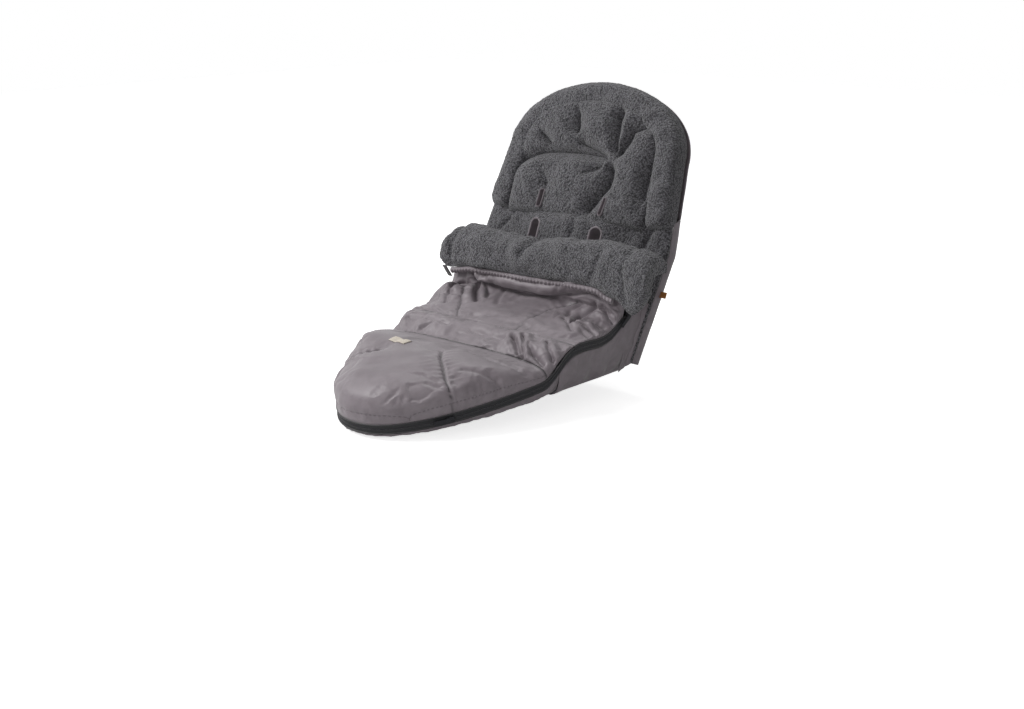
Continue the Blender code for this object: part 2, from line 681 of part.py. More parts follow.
def knee_tape_plan(side):
    def plan(u, v, depth):
        place = knee_zip(mix(KNEE_GAP_SHARE, 1.0 - KNEE_GAP_SHARE, (u + 1) / 2))
        run = max(0.0, -SEAT_FRONT - place.x)
        half = foot_edge(math.sqrt(1.0 - (run / FOOT_LENGTH) ** TOE_FULLNESS_SHARE), 0.0)[0]
        level = place.y + mix(TEETH_GAP, ZIP_TAPE * KNEE_TAPE_SHARE, (v + 1) / 2)
        return Vector((side * (half - depth), place.x, level))
    return plan


def build_panel(word, plan, form, cells, coarse, reach, pivot):
    """Puffed panel: its shell, creased on the face by form(place), then wadding and lining beneath it.
    reach is how far across the wadding and lining go."""
    def face(u, v):
        fade = (1.0 - abs(u) ** 12) * (1.0 - abs(v) ** 12)
        return -form(plan(u, v, 0.0)) * fade
    layer(word + "_shell", plan, lambda u, v: FORM_DEPTH, face, cells, "shell", pivot)

    def within(u, v, depth):
        return plan(u * reach, v, depth)
    deep = FORM_DEPTH + 2 * CURVE_GAP
    layer(word + "_wadding", within, lambda u, v: deep + PANEL_WADDING, lambda u, v: deep, coarse,
          "wadding", pivot)
    deep += PANEL_WADDING + CURVE_GAP
    layer(word + "_lining", within, lambda u, v: deep + PANEL_PILE, lambda u, v: deep, coarse, "teddy", pivot)


# Cuff: the apron's teddy edge turned down over its front

def cuff_section(x, share, inner):
    """Section of the cuff at x, from the hem over the fold to the seam: (y, z) outside or inside."""
    reach = (x - CUFF_SHIFT) / CUFF_HALF
    top = CUFF_TOP_Z * along(CUFF_TOP_SHARES, reach)
    hem = CUFF_TOP_Z * along(CUFF_HEM_SHARES, reach)
    points_y, points_z = (CUFF_INNER_Y, CUFF_INNER_Z) if inner else (CUFF_OUTER_Y, CUFF_OUTER_Z)
    y = CUFF_MID_Y + CUFF_DEPTH * along(points_y, share)
    height = along(points_z, share)
    seam = min(CUFF_SEAM_Z, mix(hem, top, CUFF_SEAM_SHARE))
    if height > 1.0:
        return y, mix(seam, top, height - 1.0)
    return y, mix(hem, seam, height)


def cuff_plan(u, v, depth):
    """Cuff: u across, v from the hem over the fold to the seam. depth is 0 outside and 1 inside."""
    x = CUFF_SHIFT + CUFF_HALF * math.copysign(abs(math.sin(u * math.pi / 2)) ** CUFF_SPREAD, u)
    y_out, z_out = cuff_section(x, (v + 1) / 2, False)
    y_in, z_in = cuff_section(x, (v + 1) / 2, True)
    return Vector((x, mix(y_out, y_in, depth), mix(z_out, z_in, depth)))


def build_cuff():
    layer("cuff", cuff_plan, lambda u, v: 1.0, lambda u, v: 0.0, (26, 10), "teddy")

    def hem_plan(u, v, depth):
        x = HEM_HALF * u
        y_out, z_out = cuff_section(x, 0.0, False)
        y_in, z_in = cuff_section(x, 0.0, True)
        y = mix(y_out, y_in, mix(HEM_INSET_SHARE, 1.0 - HEM_INSET_SHARE, depth))
        return Vector((x, y, min(z_out, z_in) - HEM_GAP - HEM_WIDTH * (1.0 - v) / 2))
    layer("cuff_hem_band", hem_plan, lambda u, v: 1.0, lambda u, v: 0.0, (26, 1), "binding")


# Back pad, drafted flat: x across, s up the back and n out of its front

def back_half(s):
    if s < BACK_WAIST:
        return mix(BACK_HALF_FOOT, BACK_HALF_LOW, s / BACK_WAIST)
    share = min(1.0, max(0.0, (s - BACK_WAIST) / (BACK_SPRING - BACK_WAIST)))
    return mix(BACK_HALF_LOW, BACK_HALF_HIGH, share)


def arch(share, inset):
    """Outline from the low right corner (0) over the crown (0.5) to the low left (1), drawn in by inset."""
    side = 1.0 if share <= 0.5 else -1.0
    climb = 2.0 * min(share, 1.0 - share)
    if climb < ARCH_SHARE:
        s = mix(BACK_FOLD, BACK_SPRING, climb / ARCH_SHARE)
        return Vector((side * (back_half(s) - inset), s))
    angle = (climb - ARCH_SHARE) / (1.0 - ARCH_SHARE) * math.pi / 2
    return Vector((side * (BACK_HALF_HIGH - inset) * math.cos(angle),
                   BACK_SPRING + (BACK_RISE - inset) * math.sin(angle)))


def back_outline(start, inset):
    """Closed outline of the back. Above the fold it is drawn in by inset, for the rim."""
    low = [(back_half(start), start), (BACK_HALF_LOW, BACK_WAIST)]
    if inset:
        low.append((back_half(RIM_START), RIM_START))
    count = 44
    shares = [index / count for index in range(count + 1)]
    high = [tuple(arch(share, inset)) for share in shares]
    high = [point for point in high if point[1] >= RIM_START - GAP or not inset]
    if inset:
        high[0] = (high[0][0], RIM_START)
        high[-1] = (high[-1][0], RIM_START)
    mirrored = [(-x, s) for x, s in reversed(low)]
    return low + high + mirrored


def waist_height(x, s):
    """Height of the waist lining's face over its underside."""
    share = min(1.0, abs(x) / (back_half(s) - WAIST_MARGIN))
    fall = 1.0 - ease(BACK_FOLD - WAIST_ROLL, BACK_FOLD + WAIST_ROLL, s)
    return WAIST_EDGE + WAIST_CROWN * (1.0 - share ** 2) ** 1.5 * fall


def head_height(x, s):
    """Height of the head lining's face: puffs between the pressed creases, falling to its border."""
    half, high = HEAD_HALF, HEAD_TOP
    side = 1.0 - (abs(x) / half) ** 6
    if s > HEAD_SPRING:
        reach = math.hypot(x / half, (s - HEAD_SPRING) / (high - HEAD_SPRING))
        side = 1.0 - min(1.0, reach) ** 6
    border = max(0.0, side) ** 0.5
    lift = HEAD_CROWN
    for line, depth, width in HEAD_CREASES:
        lift -= HEAD_CROWN * depth * groove(x, s, line, width)
    for px, ps, reach, gain in HEAD_PUFFS:
        lift += HEAD_CROWN * gain * (1.0 - ease(0.0, reach, math.hypot(x - px, s - ps)))
    return HEAD_EDGE + max(lift, HEAD_CROWN * HEAD_FLOOR_SHARE) * border


def head_plan(u, v, height):
    """Flat plan of the head lining: the square's top corners lie on the arch."""
    across, up = (u + 1) / 2, (v + 1) / 2

    def edge(share):
        side = 1.0 if share <= 0.5 else -1.0
        climb = 2.0 * min(share, 1.0 - share)
        if climb < ARCH_SHARE:
            return Vector((side * HEAD_HALF, mix(BACK_FOLD + SEAM_GAP, HEAD_SPRING, climb / ARCH_SHARE)))
        angle = (climb - ARCH_SHARE) / (1.0 - ARCH_SHARE) * math.pi / 2
        return Vector((side * HEAD_HALF * math.cos(angle),
                       HEAD_SPRING + (HEAD_TOP - HEAD_SPRING) * math.sin(angle)))
    corner = HEAD_CORNER_SHARE
    right, left = edge(mix(0.0, corner, up)), edge(mix(1.0, 1.0 - corner, up))
    low = edge(1.0).lerp(edge(0.0), across)
    high = edge(mix(1.0 - corner, corner, across))
    flat = low.lerp(edge(1.0 - corner).lerp(edge(corner), across), up)
    place = left.lerp(right, across) + low.lerp(high, up) - flat
    return Vector((place.x, place.y, LINING_BASE + height))


def build_rim(fold):
    """Rolled teddy rim round the crown: full outside, and resting on the wadding inside."""
    def plan(u, v, depth):
        share = mix(RIM_END_SHARE, 1.0 - RIM_END_SHARE, (u + 1) / 2)
        place = arch(share, RIM_RADIUS)
        ahead = arch(share + RIM_END_SHARE, RIM_RADIUS) - arch(share - RIM_END_SHARE, RIM_RADIUS)
        outward = Vector((ahead.y, -ahead.x)).normalized()
        swell = mix(RIM_END_SCALE, 1.0, ease(0.0, RIM_TAPER_SHARE, min(share, 1.0 - share)))
        inside = v >= 0.0
        seat = LINING_BASE if inside else GAP
        if depth > 0.0:
            out = -RIM_RADIUS * v if abs(v) > SEAM_GAP else SEAM_GAP
            level = seat
        else:
            angle = (v + 1) / 2 * math.pi
            out = RIM_RADIUS * math.cos(angle)
            level = mix(GAP, LINING_BASE, (v + 1) / 2) + RIM_EDGE + swell * RIM_HEIGHT * math.sin(angle)
        return Vector((place.x + outward.x * out, place.y + outward.y * out, level))
    layer("hood_rim", plan, lambda u, v: 1.0, lambda u, v: 0.0, (32, 8), "teddy", fold)


def build_back(fold):
    shell = slab("back_shell", back_outline(BACK_START, 0.0), -SKIN - GAP, -GAP, "shell", fold)
    padding = back_outline(BACK_START, RIM_RADIUS + CURVE_GAP)
    wadding = slab("back_wadding", padding, 0.0, BACK_WADDING, "wadding", fold)

    def waist_plan(u, v, height):
        s = mix(BACK_START, BACK_FOLD - SEAM_GAP, (v + 1) / 2)
        return Vector((back_half(s) * u, s, LINING_BASE + height))

    def waist_face(u, v):
        place = waist_plan(u, v, 0.0)
        return waist_height(place.x, place.y)

    def head_face(u, v):
        place = head_plan(u, v, 0.0)
        return head_height(place.x, place.y)
    waist = layer("waist_lining", waist_plan, lambda u, v: 0.0, waist_face, (20, 12), "teddy", fold, True)
    head = layer("head_lining", head_plan, lambda u, v: 0.0, head_face, (28, 26), "teddy", fold, True)
    build_rim(fold)
    low, high = -SKIN - GAP - CUT_OVERRUN, LINING_BASE + WAIST_EDGE + WAIST_CROWN + CUT_OVERRUN
    for side, word in ((1, "right"), (-1, "left")):
        slots = (("waist_slot", (shell, wadding, waist), SLOT_WIDTH, SLOT_HEIGHT, SLOT_X, SLOT_S,
                  waist_height),
                 ("shoulder_slit", (shell, wadding, head), SLIT_WIDTH, SLIT_HEIGHT, SLIT_X, SLIT_S,
                  head_height),
                 ("lap_slot", (shell, wadding, waist), LAP_WIDTH, LAP_HEIGHT, LAP_X, LAP_S, waist_height))
        for name, nodes, width, height, x, s, face in slots:
            for node in nodes:
                cut_through(node, oval(width, height, side * x, s), low, high, fold)
            bound = (width - 2 * GAP, height - 2 * GAP, side * x, s)
            sleeve(word + "_" + name + "_binding", [bound], -SKIN - GAP,
                   lambda x, y, face=face: LINING_BASE + face(x, y) + GAP, fold)


# Sliders, pulls, label, tag and tab

def block(name, size, place, turn, kind, pivot=None):
    """A small bevelled plate with its origin at place. size is its three sides and its shift along Y."""
    bm = bmesh.new()
    bmesh.ops.create_cube(bm, size=1.0)
    bmesh.ops.scale(bm, verts=bm.verts[:], vec=size[:3])
    bmesh.ops.translate(bm, verts=bm.verts[:], vec=(0.0, size[3], 0.0))
    node = node_from(name, bm, kind, pivot, smooth=False)
    node.location = place
    node.rotation_euler = turn
    modifier = node.modifiers.new("rounding", "BEVEL")
    modifier.width = min(size[:3]) * BLOCK_ROUND_SHARE
    modifier.segments = 2
    return node


def build_sliders(foot_fold):
    """A slider on each zip, with its pull hanging from it."""
    climb = seat_zip(SLIDER_Y + SLIDER_LENGTH) - seat_zip(SLIDER_Y - SLIDER_LENGTH)
    slope = math.atan2(climb, 2 * SLIDER_LENGTH)
    for side, word in ((1, "right"), (-1, "left")):
        x = side * (SEAT_HALF + GAP + SLIDER_HEIGHT / 2)
        place = (x, SLIDER_Y, seat_zip(SLIDER_Y))
        block(word + "_slider", (SLIDER_HEIGHT, SLIDER_LENGTH, SLIDER_WIDTH, 0.0), place,
              (slope, 0.0, 0.0), "metal")
        hang = (side * (SEAT_HALF + 2 * GAP + SLIDER_HEIGHT + PULL_THICK / 2), SLIDER_Y, seat_zip(SLIDER_Y))
        block(word + "_pull", (PULL_THICK, PULL_LENGTH, PULL_WIDTH, -PULL_LENGTH / 2), hang,
              (slope, 0.0, 0.0), "metal")
    x, run, outward = foot_edge(TOE_SLIDER_Q, 0.0)
    turn = math.atan2(-outward.y, outward.x)
    level = foot_zip(run)
    reach = GAP * 2 + SLIDER_HEIGHT / 2
    place = (x + outward.x * reach, -run - outward.y * reach, level)
    block("toe_slider", (SLIDER_HEIGHT, SLIDER_LENGTH, SLIDER_WIDTH, 0.0), place,
          (0.0, 0.0, turn), "metal", foot_fold)
    reach = GAP * 3 + SLIDER_HEIGHT + PULL_THICK / 2
    place = (x + outward.x * reach, -run - outward.y * reach, level)
    block("toe_pull", (PULL_THICK, PULL_LENGTH, PULL_WIDTH, -PULL_LENGTH / 2), place,
          (0.0, 0.0, turn), "metal", foot_fold)


def build_trim(foot_fold, back_fold):
    def label_plan(u, v, depth):
        across = mix(*LABEL_ACROSS, (u + 1) / 2)
        out = mix(*LABEL_OUT, (v + 1) / 2)
        place = cover_plan(across, out, 0.0)
        lift = max(0.0, cover_form(place)) + LABEL_LIFT + LABEL_THICK * (1.0 - depth)
        return place + Vector((0.0, 0.0, lift))
    layer("label", label_plan, lambda u, v: 1.0, lambda u, v: 0.0, (6, 6), "label", foot_fold)
    place = (back_half(TAG_S + TAG_WIDTH) + TAG_REACH / 2, TAG_S, TAG_LEVEL)
    block("side_tag", (TAG_REACH, TAG_WIDTH, TAG_THICK, 0.0), place, (0.0, 0.0, 0.0), "tan", back_fold)
    x = CUFF_SHIFT - CUFF_HALF * TAB_SHARE
    y_out, z_out = cuff_section(x, 0.0, False)
    y_in, z_in = cuff_section(x, 0.0, True)
    place = (x, (y_out + y_in) / 2, min(z_out, z_in) - TAB_DROP)
    block("cuff_tab", (TAB_WIDTH, TAB_THICK, TAB_LENGTH, 0.0), place, (TAB_LEAN, 0.0, 0.0), "binding")


clear_scene()
FOOT_FOLD = pivot_at("foot_fold", (0.0, -SEAT_FRONT, 0.0), FOOT_DROP)
BACK_FOLD_LINE = pivot_at("back_fold", (0.0, SEAT_REAR, 0.0), BACK_RAISE)
build_seat()
build_side_zips()
build_foot(FOOT_FOLD)
build_foot_zip(FOOT_FOLD)
build_panel("foot_cover", cover_plan, cover_form, (16, 14), (12, 14), 1.0, FOOT_FOLD)
build_panel("knee", knee_plan, lambda place: 0.0, (16, 4), (10, 4), WADDING_REACH, None)
tape("right_knee_zip_tape", knee_tape_plan(1), 10)
tape("left_knee_zip_tape", knee_tape_plan(-1), 10)
build_panel("apron", apron_plan, apron_form, (22, 18), (8, 18), WADDING_REACH, None)
build_cuff()
build_back(BACK_FOLD_LINE)
build_sliders(FOOT_FOLD)
build_trim(FOOT_FOLD, BACK_FOLD_LINE)
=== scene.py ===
"""Looks of the padded stroller footmuff: warm grey satin outside, dark grey curly pile inside, black zips.
All measures are in metres unless a comment says otherwise."""
import math

import bmesh
import bpy
import numpy as np
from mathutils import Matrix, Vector


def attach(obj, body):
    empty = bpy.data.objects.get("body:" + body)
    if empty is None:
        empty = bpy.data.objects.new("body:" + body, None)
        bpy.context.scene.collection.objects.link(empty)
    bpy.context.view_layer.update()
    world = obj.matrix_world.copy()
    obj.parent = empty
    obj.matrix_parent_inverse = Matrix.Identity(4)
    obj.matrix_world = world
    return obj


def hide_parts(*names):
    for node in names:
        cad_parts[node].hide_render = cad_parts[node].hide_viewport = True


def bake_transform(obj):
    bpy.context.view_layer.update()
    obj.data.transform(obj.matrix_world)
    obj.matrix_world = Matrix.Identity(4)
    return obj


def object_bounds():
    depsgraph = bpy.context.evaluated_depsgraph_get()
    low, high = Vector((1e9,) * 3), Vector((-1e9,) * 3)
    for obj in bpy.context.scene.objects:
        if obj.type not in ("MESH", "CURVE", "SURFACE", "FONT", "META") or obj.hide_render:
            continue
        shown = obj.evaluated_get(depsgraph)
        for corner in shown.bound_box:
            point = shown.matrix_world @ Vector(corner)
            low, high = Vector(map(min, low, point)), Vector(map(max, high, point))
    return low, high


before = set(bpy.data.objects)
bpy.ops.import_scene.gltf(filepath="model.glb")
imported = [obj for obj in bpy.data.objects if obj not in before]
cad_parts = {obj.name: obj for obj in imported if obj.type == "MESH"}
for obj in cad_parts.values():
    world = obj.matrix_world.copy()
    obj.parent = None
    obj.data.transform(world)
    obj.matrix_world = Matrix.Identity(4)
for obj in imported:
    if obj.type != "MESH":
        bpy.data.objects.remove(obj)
cad_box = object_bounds()

# The photographer's corner: a camera at the right of the foot end, a pale floor and three soft lights.
# The view was solved from the photograph: about a 50 mm lens, 16 degrees down, 41 degrees round.
scene = bpy.context.scene
scene.view_settings.view_transform = "Standard"


def linked(name, data):
    """A new object of this data in the scene."""
    made = bpy.data.objects.new(name, data)
    scene.collection.objects.link(made)
    return made


lens = bpy.data.cameras.new("studio_camera")
lens.lens, lens.sensor_width, lens.sensor_fit = 50.11, 36.0, "HORIZONTAL"
camera = linked("studio_camera", lens)
camera.location = (1.744, -1.97, 0.772)
camera.rotation_euler = (math.radians(90.0 - 15.956), 0.0, math.radians(41.445))
scene.camera = camera


def linear(code):
    """A colour written as sRGB hex, as linear red, green, blue and a full alpha."""
    value = np.array([int(code[i:i + 2], 16) for i in (1, 3, 5)]) / 255.0
    return (*np.where(value <= 0.04045, value / 12.92, ((value + 0.055) / 1.055) ** 2.4), 1.0)


def add(tree, kind, links=(), **settings):
    """A node of this kind. settings name its properties or input sockets; links pairs a socket with a source."""
    node = tree.nodes.new("ShaderNode" + kind)
    for name, value in settings.items():
        if hasattr(node, name):
            setattr(node, name, value)
        else:
            node.inputs[name.replace("_", " ")].default_value = value
    for socket, source in links:
        tree.links.new(source, node.inputs[socket])
    return node


world = bpy.data.worlds.new("studio")
scene.world = world
world.use_nodes = True
tree = world.node_tree
tree.nodes.clear()
# what is seen, in a mirror or through glass too, is white paper; the light it gives is dimmer
path = add(tree, "LightPath")
seen = path.outputs["Is Camera Ray"]
for way in ("Is Glossy Ray", "Is Transmission Ray"):
    seen = add(tree, "Math", [(0, seen), (1, path.outputs[way])], operation="MAXIMUM").outputs[0]
ambient = add(tree, "Background", Color=(1, 1, 1, 1), Strength=0.22)
paper = add(tree, "Background", Color=(1, 1, 1, 1), Strength=1.0)
both = add(tree, "MixShader", [(0, seen), (1, ambient.outputs[0]), (2, paper.outputs[0])])
add(tree, "OutputWorld", [("Surface", both.outputs[0])])

for name, place, size, power in (("key_softbox", (-1.5, -1.4, 2.1), 1.6, 62.0),
                                 ("fill_softbox", (0.8, -2.6, 0.7), 1.6, 13.0),
                                 ("top_softbox", (-0.5, 1.0, 2.3), 0.9, 15.0)):
    lamp = bpy.data.lights.new(name, "AREA")
    lamp.size, lamp.energy = size, power
    softbox = linked(name, lamp)
    softbox.location = place
    softbox.rotation_euler = (Vector((0.0, 0.0, 0.2)) - Vector(place)).to_track_quat("-Z", "Y").to_euler()

floor_mesh = bpy.data.meshes.new("studio_floor")
floor_level = cad_box[0][2] - 0.002
floor_mesh.from_pydata([(x, y, floor_level) for x, y in ((-6, -6), (6, -6), (6, 6), (-6, 6))], [], [(0, 1, 2, 3)])
backdrop_paper = bpy.data.materials.new("matt_backdrop_paper")
backdrop_paper.use_nodes = True
tree = backdrop_paper.node_tree
shader = tree.nodes["Principled BSDF"]
shader.inputs["Base Color"].default_value = linear("#F2F2F2")
shader.inputs["Roughness"].default_value = 0.9
# the camera sees the floor with a glow added, so that it is as white as the paper; the footmuff doesn't get it
path = add(tree, "LightPath")
white = add(tree, "Emission", Color=(1, 1, 1, 1), Strength=0.75)
lit = add(tree, "AddShader", [(0, shader.outputs[0]), (1, white.outputs[0])])
chosen = add(tree, "MixShader", [(0, path.outputs["Is Camera Ray"]), (1, shader.outputs[0]), (2, lit.outputs[0])])
tree.links.new(chosen.outputs[0], tree.nodes["Material Output"].inputs["Surface"])
floor_mesh.materials.append(backdrop_paper)
linked("studio_floor", floor_mesh)


# Seat pad: satin underneath, a layer of wadding, curly pile on top. Three flat cuts with a slot for the
# crotch strap, sewn to the side walls all round.
def material(name, colour, roughness, **settings):
    """A new Principled material. Returns it, its tree and its shader."""
    made = bpy.data.materials.new(name)
    made.use_nodes = True
    tree = made.node_tree
    shader = tree.nodes["Principled BSDF"]
    shader.inputs["Base Color"].default_value = linear(colour)
    shader.inputs["Roughness"].default_value = roughness
    for key, value in settings.items():
        shader.inputs[key.replace("_", " ")].default_value = value
    return made, tree, shader


def satin_cloth():
    """Polyamide satin, calendered: a soft broad sheen, faint weft lines, small dry creases and uneven tone."""
    made, tree, shader = material("calendered_polyamide_satin", "#776F74", 0.46, Specular_IOR_Level=0.4,
                                  Sheen_Weight=0.18, Sheen_Roughness=0.45)
    place = add(tree, "TexCoord").outputs["Object"]
    # tone drifts over patches about 60 mm and 14 mm across
    broad = add(tree, "TexNoise", [("Vector", place)], Scale=16.0, Detail=2.0)
    patch = add(tree, "TexNoise", [("Vector", place)], Scale=70.0, Detail=3.0)
    tone = add(tree, "Math", [(0, broad.outputs["Fac"]), (1, patch.outputs["Fac"])], operation="ADD")
    share = add(tree, "MapRange", [("Value", tone.outputs[0])], From_Min=0.75, From_Max=1.25)
    colour = add(tree, "MixRGB", [("Fac", share.outputs[0])], Color1=linear("#70686D"), Color2=linear("#7E767B"))
    # painted shade: the colour darkens towards #3B3639 in the seam grooves and on the dashed topstitch, as far as the
    # panels' own meshes mark it in their seam attribute
    seam = add(tree, "Attribute", attribute_name="seam").outputs["Fac"]
    shaded = add(tree, "MixRGB", [("Fac", seam), ("Color1", colour.outputs[0])], Color2=linear("#3B3639"))
    tree.links.new(shaded.outputs[0], shader.inputs["Base Color"])
    rough = add(tree, "MapRange", [("Value", patch.outputs["Fac"])],
                From_Min=0.3, From_Max=0.7, To_Min=0.39, To_Max=0.53)
    tree.links.new(rough.outputs[0], shader.inputs["Roughness"])
    # the threads are 0.2 mm apart; the weave is drawn at 1.1 mm so that it shows
    weft, warp = (add(tree, "TexWave", [("Vector", place)], Scale=290.0, Distortion=1.2, Detail=1.0,
                      bands_direction=way) for way in "YX")
    weave = add(tree, "Math", [(0, weft.outputs["Fac"]), (1, warp.outputs["Fac"])], operation="MULTIPLY")
    fine = add(tree, "Bump", [("Height", weave.outputs[0])], Strength=0.1, Distance=0.0002)
    crease = add(tree, "TexNoise", [("Vector", place)], Scale=95.0, Detail=4.0, Roughness=0.55, Distortion=0.6)
    dry = add(tree, "Bump", [("Height", crease.outputs["Fac"]), ("Normal", fine.outputs[0])],
              Strength=0.1, Distance=0.001)
    tree.links.new(dry.outputs[0], shader.inputs["Normal"])
    return made


def curly_pile():
    """Polyester boucle pile, knitted and tumbled: matt curls, with painted shade between them and painted light on
    their tips.
    """
    made, tree, shader = material("tumbled_boucle_pile", "#5A5A5E", 0.95, Specular_IOR_Level=0.18,
                                  Sheen_Weight=0.35, Sheen_Roughness=0.6)
    place = add(tree, "TexCoord").outputs["Object"]
    # the curls are 2 to 3 mm across; they are drawn near 3.5 mm so that they show from across a room
    curl = add(tree, "TexVoronoi", [("Vector", place)], Scale=320.0, feature="SMOOTH_F1", Smoothness=0.5)
    fluff = add(tree, "TexNoise", [("Vector", place)], Scale=460.0, Detail=3.0, Roughness=0.6)
    mixed = add(tree, "Math", [(0, fluff.outputs["Fac"]), (1, curl.outputs["Distance"])], operation="SUBTRACT")
    broad = add(tree, "TexNoise", [("Vector", place)], Scale=14.0, Detail=2.0)
    share = add(tree, "MapRange", [("Value", mixed.outputs[0])], From_Min=-0.22, From_Max=0.36)
    # the colour follows the same heights as the bump: painted shade low between the curls and painted light high on
    # their tips
    colour = add(tree, "MixRGB", [("Fac", share.outputs[0])], Color1=linear("#1F1E22"), Color2=linear("#757379"))
    patchy = add(tree, "MapRange", [("Value", broad.outputs["Fac"])],
                 From_Min=0.3, From_Max=0.7, To_Min=0.0, To_Max=0.22)
    shaded = add(tree, "MixRGB", [("Fac", patchy.outputs[0]), ("Color1", colour.outputs[0])],
                 Color2=linear("#39393C"))
    tree.links.new(shaded.outputs[0], shader.inputs["Base Color"])
    bump = add(tree, "Bump", [("Height", mixed.outputs[0])], Strength=1.0, Distance=0.0032)
    tree.links.new(bump.outputs[0], shader.inputs["Normal"])
    return made


def textured(finish, texture, dark, pale, strength, relief, **pattern):
    """Give a finish from material() one texture: two tones of its colour, if they are named, and a relief of this
    depth in metres."""
    made, tree, shader = finish
    drawn = add(tree, texture, [("Vector", add(tree, "TexCoord").outputs["Object"])], **pattern).outputs["Fac"]
    if dark:
        tone = add(tree, "MixRGB", [("Fac", drawn)], Color1=linear(dark), Color2=linear(pale))
        tree.links.new(tone.outputs[0], shader.inputs["Base Color"])
    bump = add(tree, "Bump", [("Height", drawn)], Strength=strength, Distance=relief)
    tree.links.new(bump.outputs[0], shader.inputs["Normal"])
    return made


satin, pile = satin_cloth(), curly_pile()
# bonded polyester wadding: white, matt and cloudy, with no sheen
wadding = textured(material("bonded_polyester_wadding", "#E6E6E2", 0.95), "TexNoise", "#D2D2CD", "#F2F2EF",
                   0.5, 0.001, Scale=240.0, Detail=5.0, Roughness=0.7)


def ripple(points, size, seed):
    """Smooth seeded unevenness from -1 to 1 about size metres across: a sum of sines in random directions."""
    chance = np.random.default_rng(seed)
    way = chance.normal(size=(14, 3))
    way /= np.linalg.norm(way, axis=1, keepdims=True)
    pitch = 2 * math.pi / (size * chance.uniform(0.7, 1.5, 14))
    start = chance.uniform(0, 2 * math.pi, 14)
    waves = np.sin((points @ way.T) * pitch + start).sum(-1) / 4.2
    return np.clip(waves, -1.0, 1.0)


def read(piece):
    """Places and normals of a piece's vertices, as arrays."""
    mesh = piece.data
    places, normals = np.empty((2, len(mesh.vertices) * 3), np.float32)
    mesh.vertices.foreach_get("co", places)
    mesh.vertex_normals.foreach_get("vector", normals)
    return places.reshape(-1, 3).astype(float), normals.reshape(-1, 3).astype(float)


def write(piece, places):
    """Move a piece's vertices to these places."""
    piece.data.vertices.foreach_set("co", np.ascontiguousarray(places, np.float32).ravel())
    piece.data.update()


def dress(piece, cloth, node, body=None):
    """Give a piece its cloth, hide the CAD node that it stands for, and let it ride on its body, if one is named."""
    piece.data.materials.clear()
    piece.data.materials.append(cloth)
    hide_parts(node)
    if body:
        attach(piece, body)
    return piece


def thin_copy(name, node, cuts):
    """A copy of a CAD solid, its doubles merged and its faces divided by this many cuts, with its edges kept."""
    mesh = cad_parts[node].data.copy()
    mesh.name = name
    mesh.materials.clear()
    bm = bmesh.new()
    bm.from_mesh(mesh)
    bmesh.ops.remove_doubles(bm, verts=bm.verts[:], dist=1e-5)
    if cuts:
        bmesh.ops.subdivide_edges(bm, edges=bm.edges[:], cuts=cuts, use_grid_fill=True)
    bm.to_mesh(mesh)
    bm.free()
    mesh.shade_smooth()
    mesh.set_sharp_from_angle(angle=math.radians(40.0))
    return linked(name, mesh)


def baked(piece):
    """Make a piece's modifiers part of its mesh."""
    done = bpy.data.meshes.new_from_object(piece.evaluated_get(bpy.context.evaluated_depsgraph_get()))
    piece.modifiers.clear()
    piece.data = done
    done.name = piece.name
    return piece


def cut_from(name, node):
    """A fine copy of a CAD solid, remeshed in cells of 3 mm and then smoothed twice."""
    piece = thin_copy(name, node, 0)
    remesh = piece.modifiers.new("cells", "REMESH")
    remesh.mode, remesh.voxel_size, remesh.adaptivity = "VOXEL", 0.003, 0.0
    relax = piece.modifiers.new("relax", "SMOOTH")
    relax.factor, relax.iterations = 0.5, 2
    baked(piece).data.shade_smooth()
    return piece


def pile_face(piece, seed):
    """Lift a piece's surface into the curls of the pile: lumps about 9 mm across, then about 4 mm."""
    for number, (size, depth) in enumerate(((0.009, 0.0007), (0.0042, 0.0005))):
        places, normals = read(piece)
        write(piece, places + normals * (depth * ripple(places, size, seed + number))[:, None])
    return piece


seat_under = dress(thin_copy("seat_satin_base", "seat_shell", 1), satin, "seat_shell", "seat")
seat_fill = dress(thin_copy("seat_wadding_pad", "seat_wadding", 1), wadding, "seat_wadding", "seat")
seat_pile = dress(pile_face(cut_from("seat_pile_top", "seat_lining"), 3), pile, "seat_lining", "seat")

# Side walls of the seat: satin outside, pile inside, tucked in round at the base and up to the zip.
# The satin is fuller than the zip it is sewn to, so it puckers under the zip and bags a little lower down.

# the fold line under the knees, the seat's length behind it, and the height that the side zip's curve is a share of
FOLD, SEAT_LONG, WALL_HIGH = -0.1, 0.225, 0.148


def eased(low, high, value):
    """Smooth step from 0 at low to 1 at high."""
    share = np.clip((value - low) / (high - low), 0.0, 1.0)
    return share * share * (3.0 - 2.0 * share)


def bends(piece):
    """The piece crosses the fold line under the knees; its place is baked into its mesh."""
    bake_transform(piece)
    return piece


for word, side in (("right", 1.0), ("left", -1.0)):
    wall = thin_copy(word + "_wall_satin", word + "_wall_shell", 4)
    places, normals = read(wall)
    y, z = places[:, 1], places[:, 2]
    zip_line = np.interp((y - FOLD) / SEAT_LONG, [0, 0.09, 0.2, 0.5, 0.62, 0.72, 1.1],
                         [0.36, 0.46, 0.525, 0.525, 0.55, 0.615, 1.0])
    below = np.maximum(0.0, WALL_HIGH * zip_line - 0.009 - z)
    free = eased(0.0, 0.01, below) * eased(0.0, 0.012, z) * eased(0.0, 0.012, y - FOLD - 0.0005)
    pucker = np.cos(y * 2 * math.pi / 0.012 + 2.0 * np.sin(y * 90.0)) * np.exp(-below / 0.014) * 0.0011
    bag = 0.0022 * ripple(places * (1.0, 1.0, 0.55), 0.045, 31) + 0.0009 * ripple(places, 0.016, 32)
    write(wall, places + np.array((side, 0.0, 0.0)) * ((pucker + bag + 0.0016) * free)[:, None])
    bends(dress(wall, satin, word + "_wall_shell"))
    lining = dress(pile_face(cut_from(word + "_wall_pile", word + "_wall_lining"), 5), pile, word + "_wall_lining")
    bends(lining)

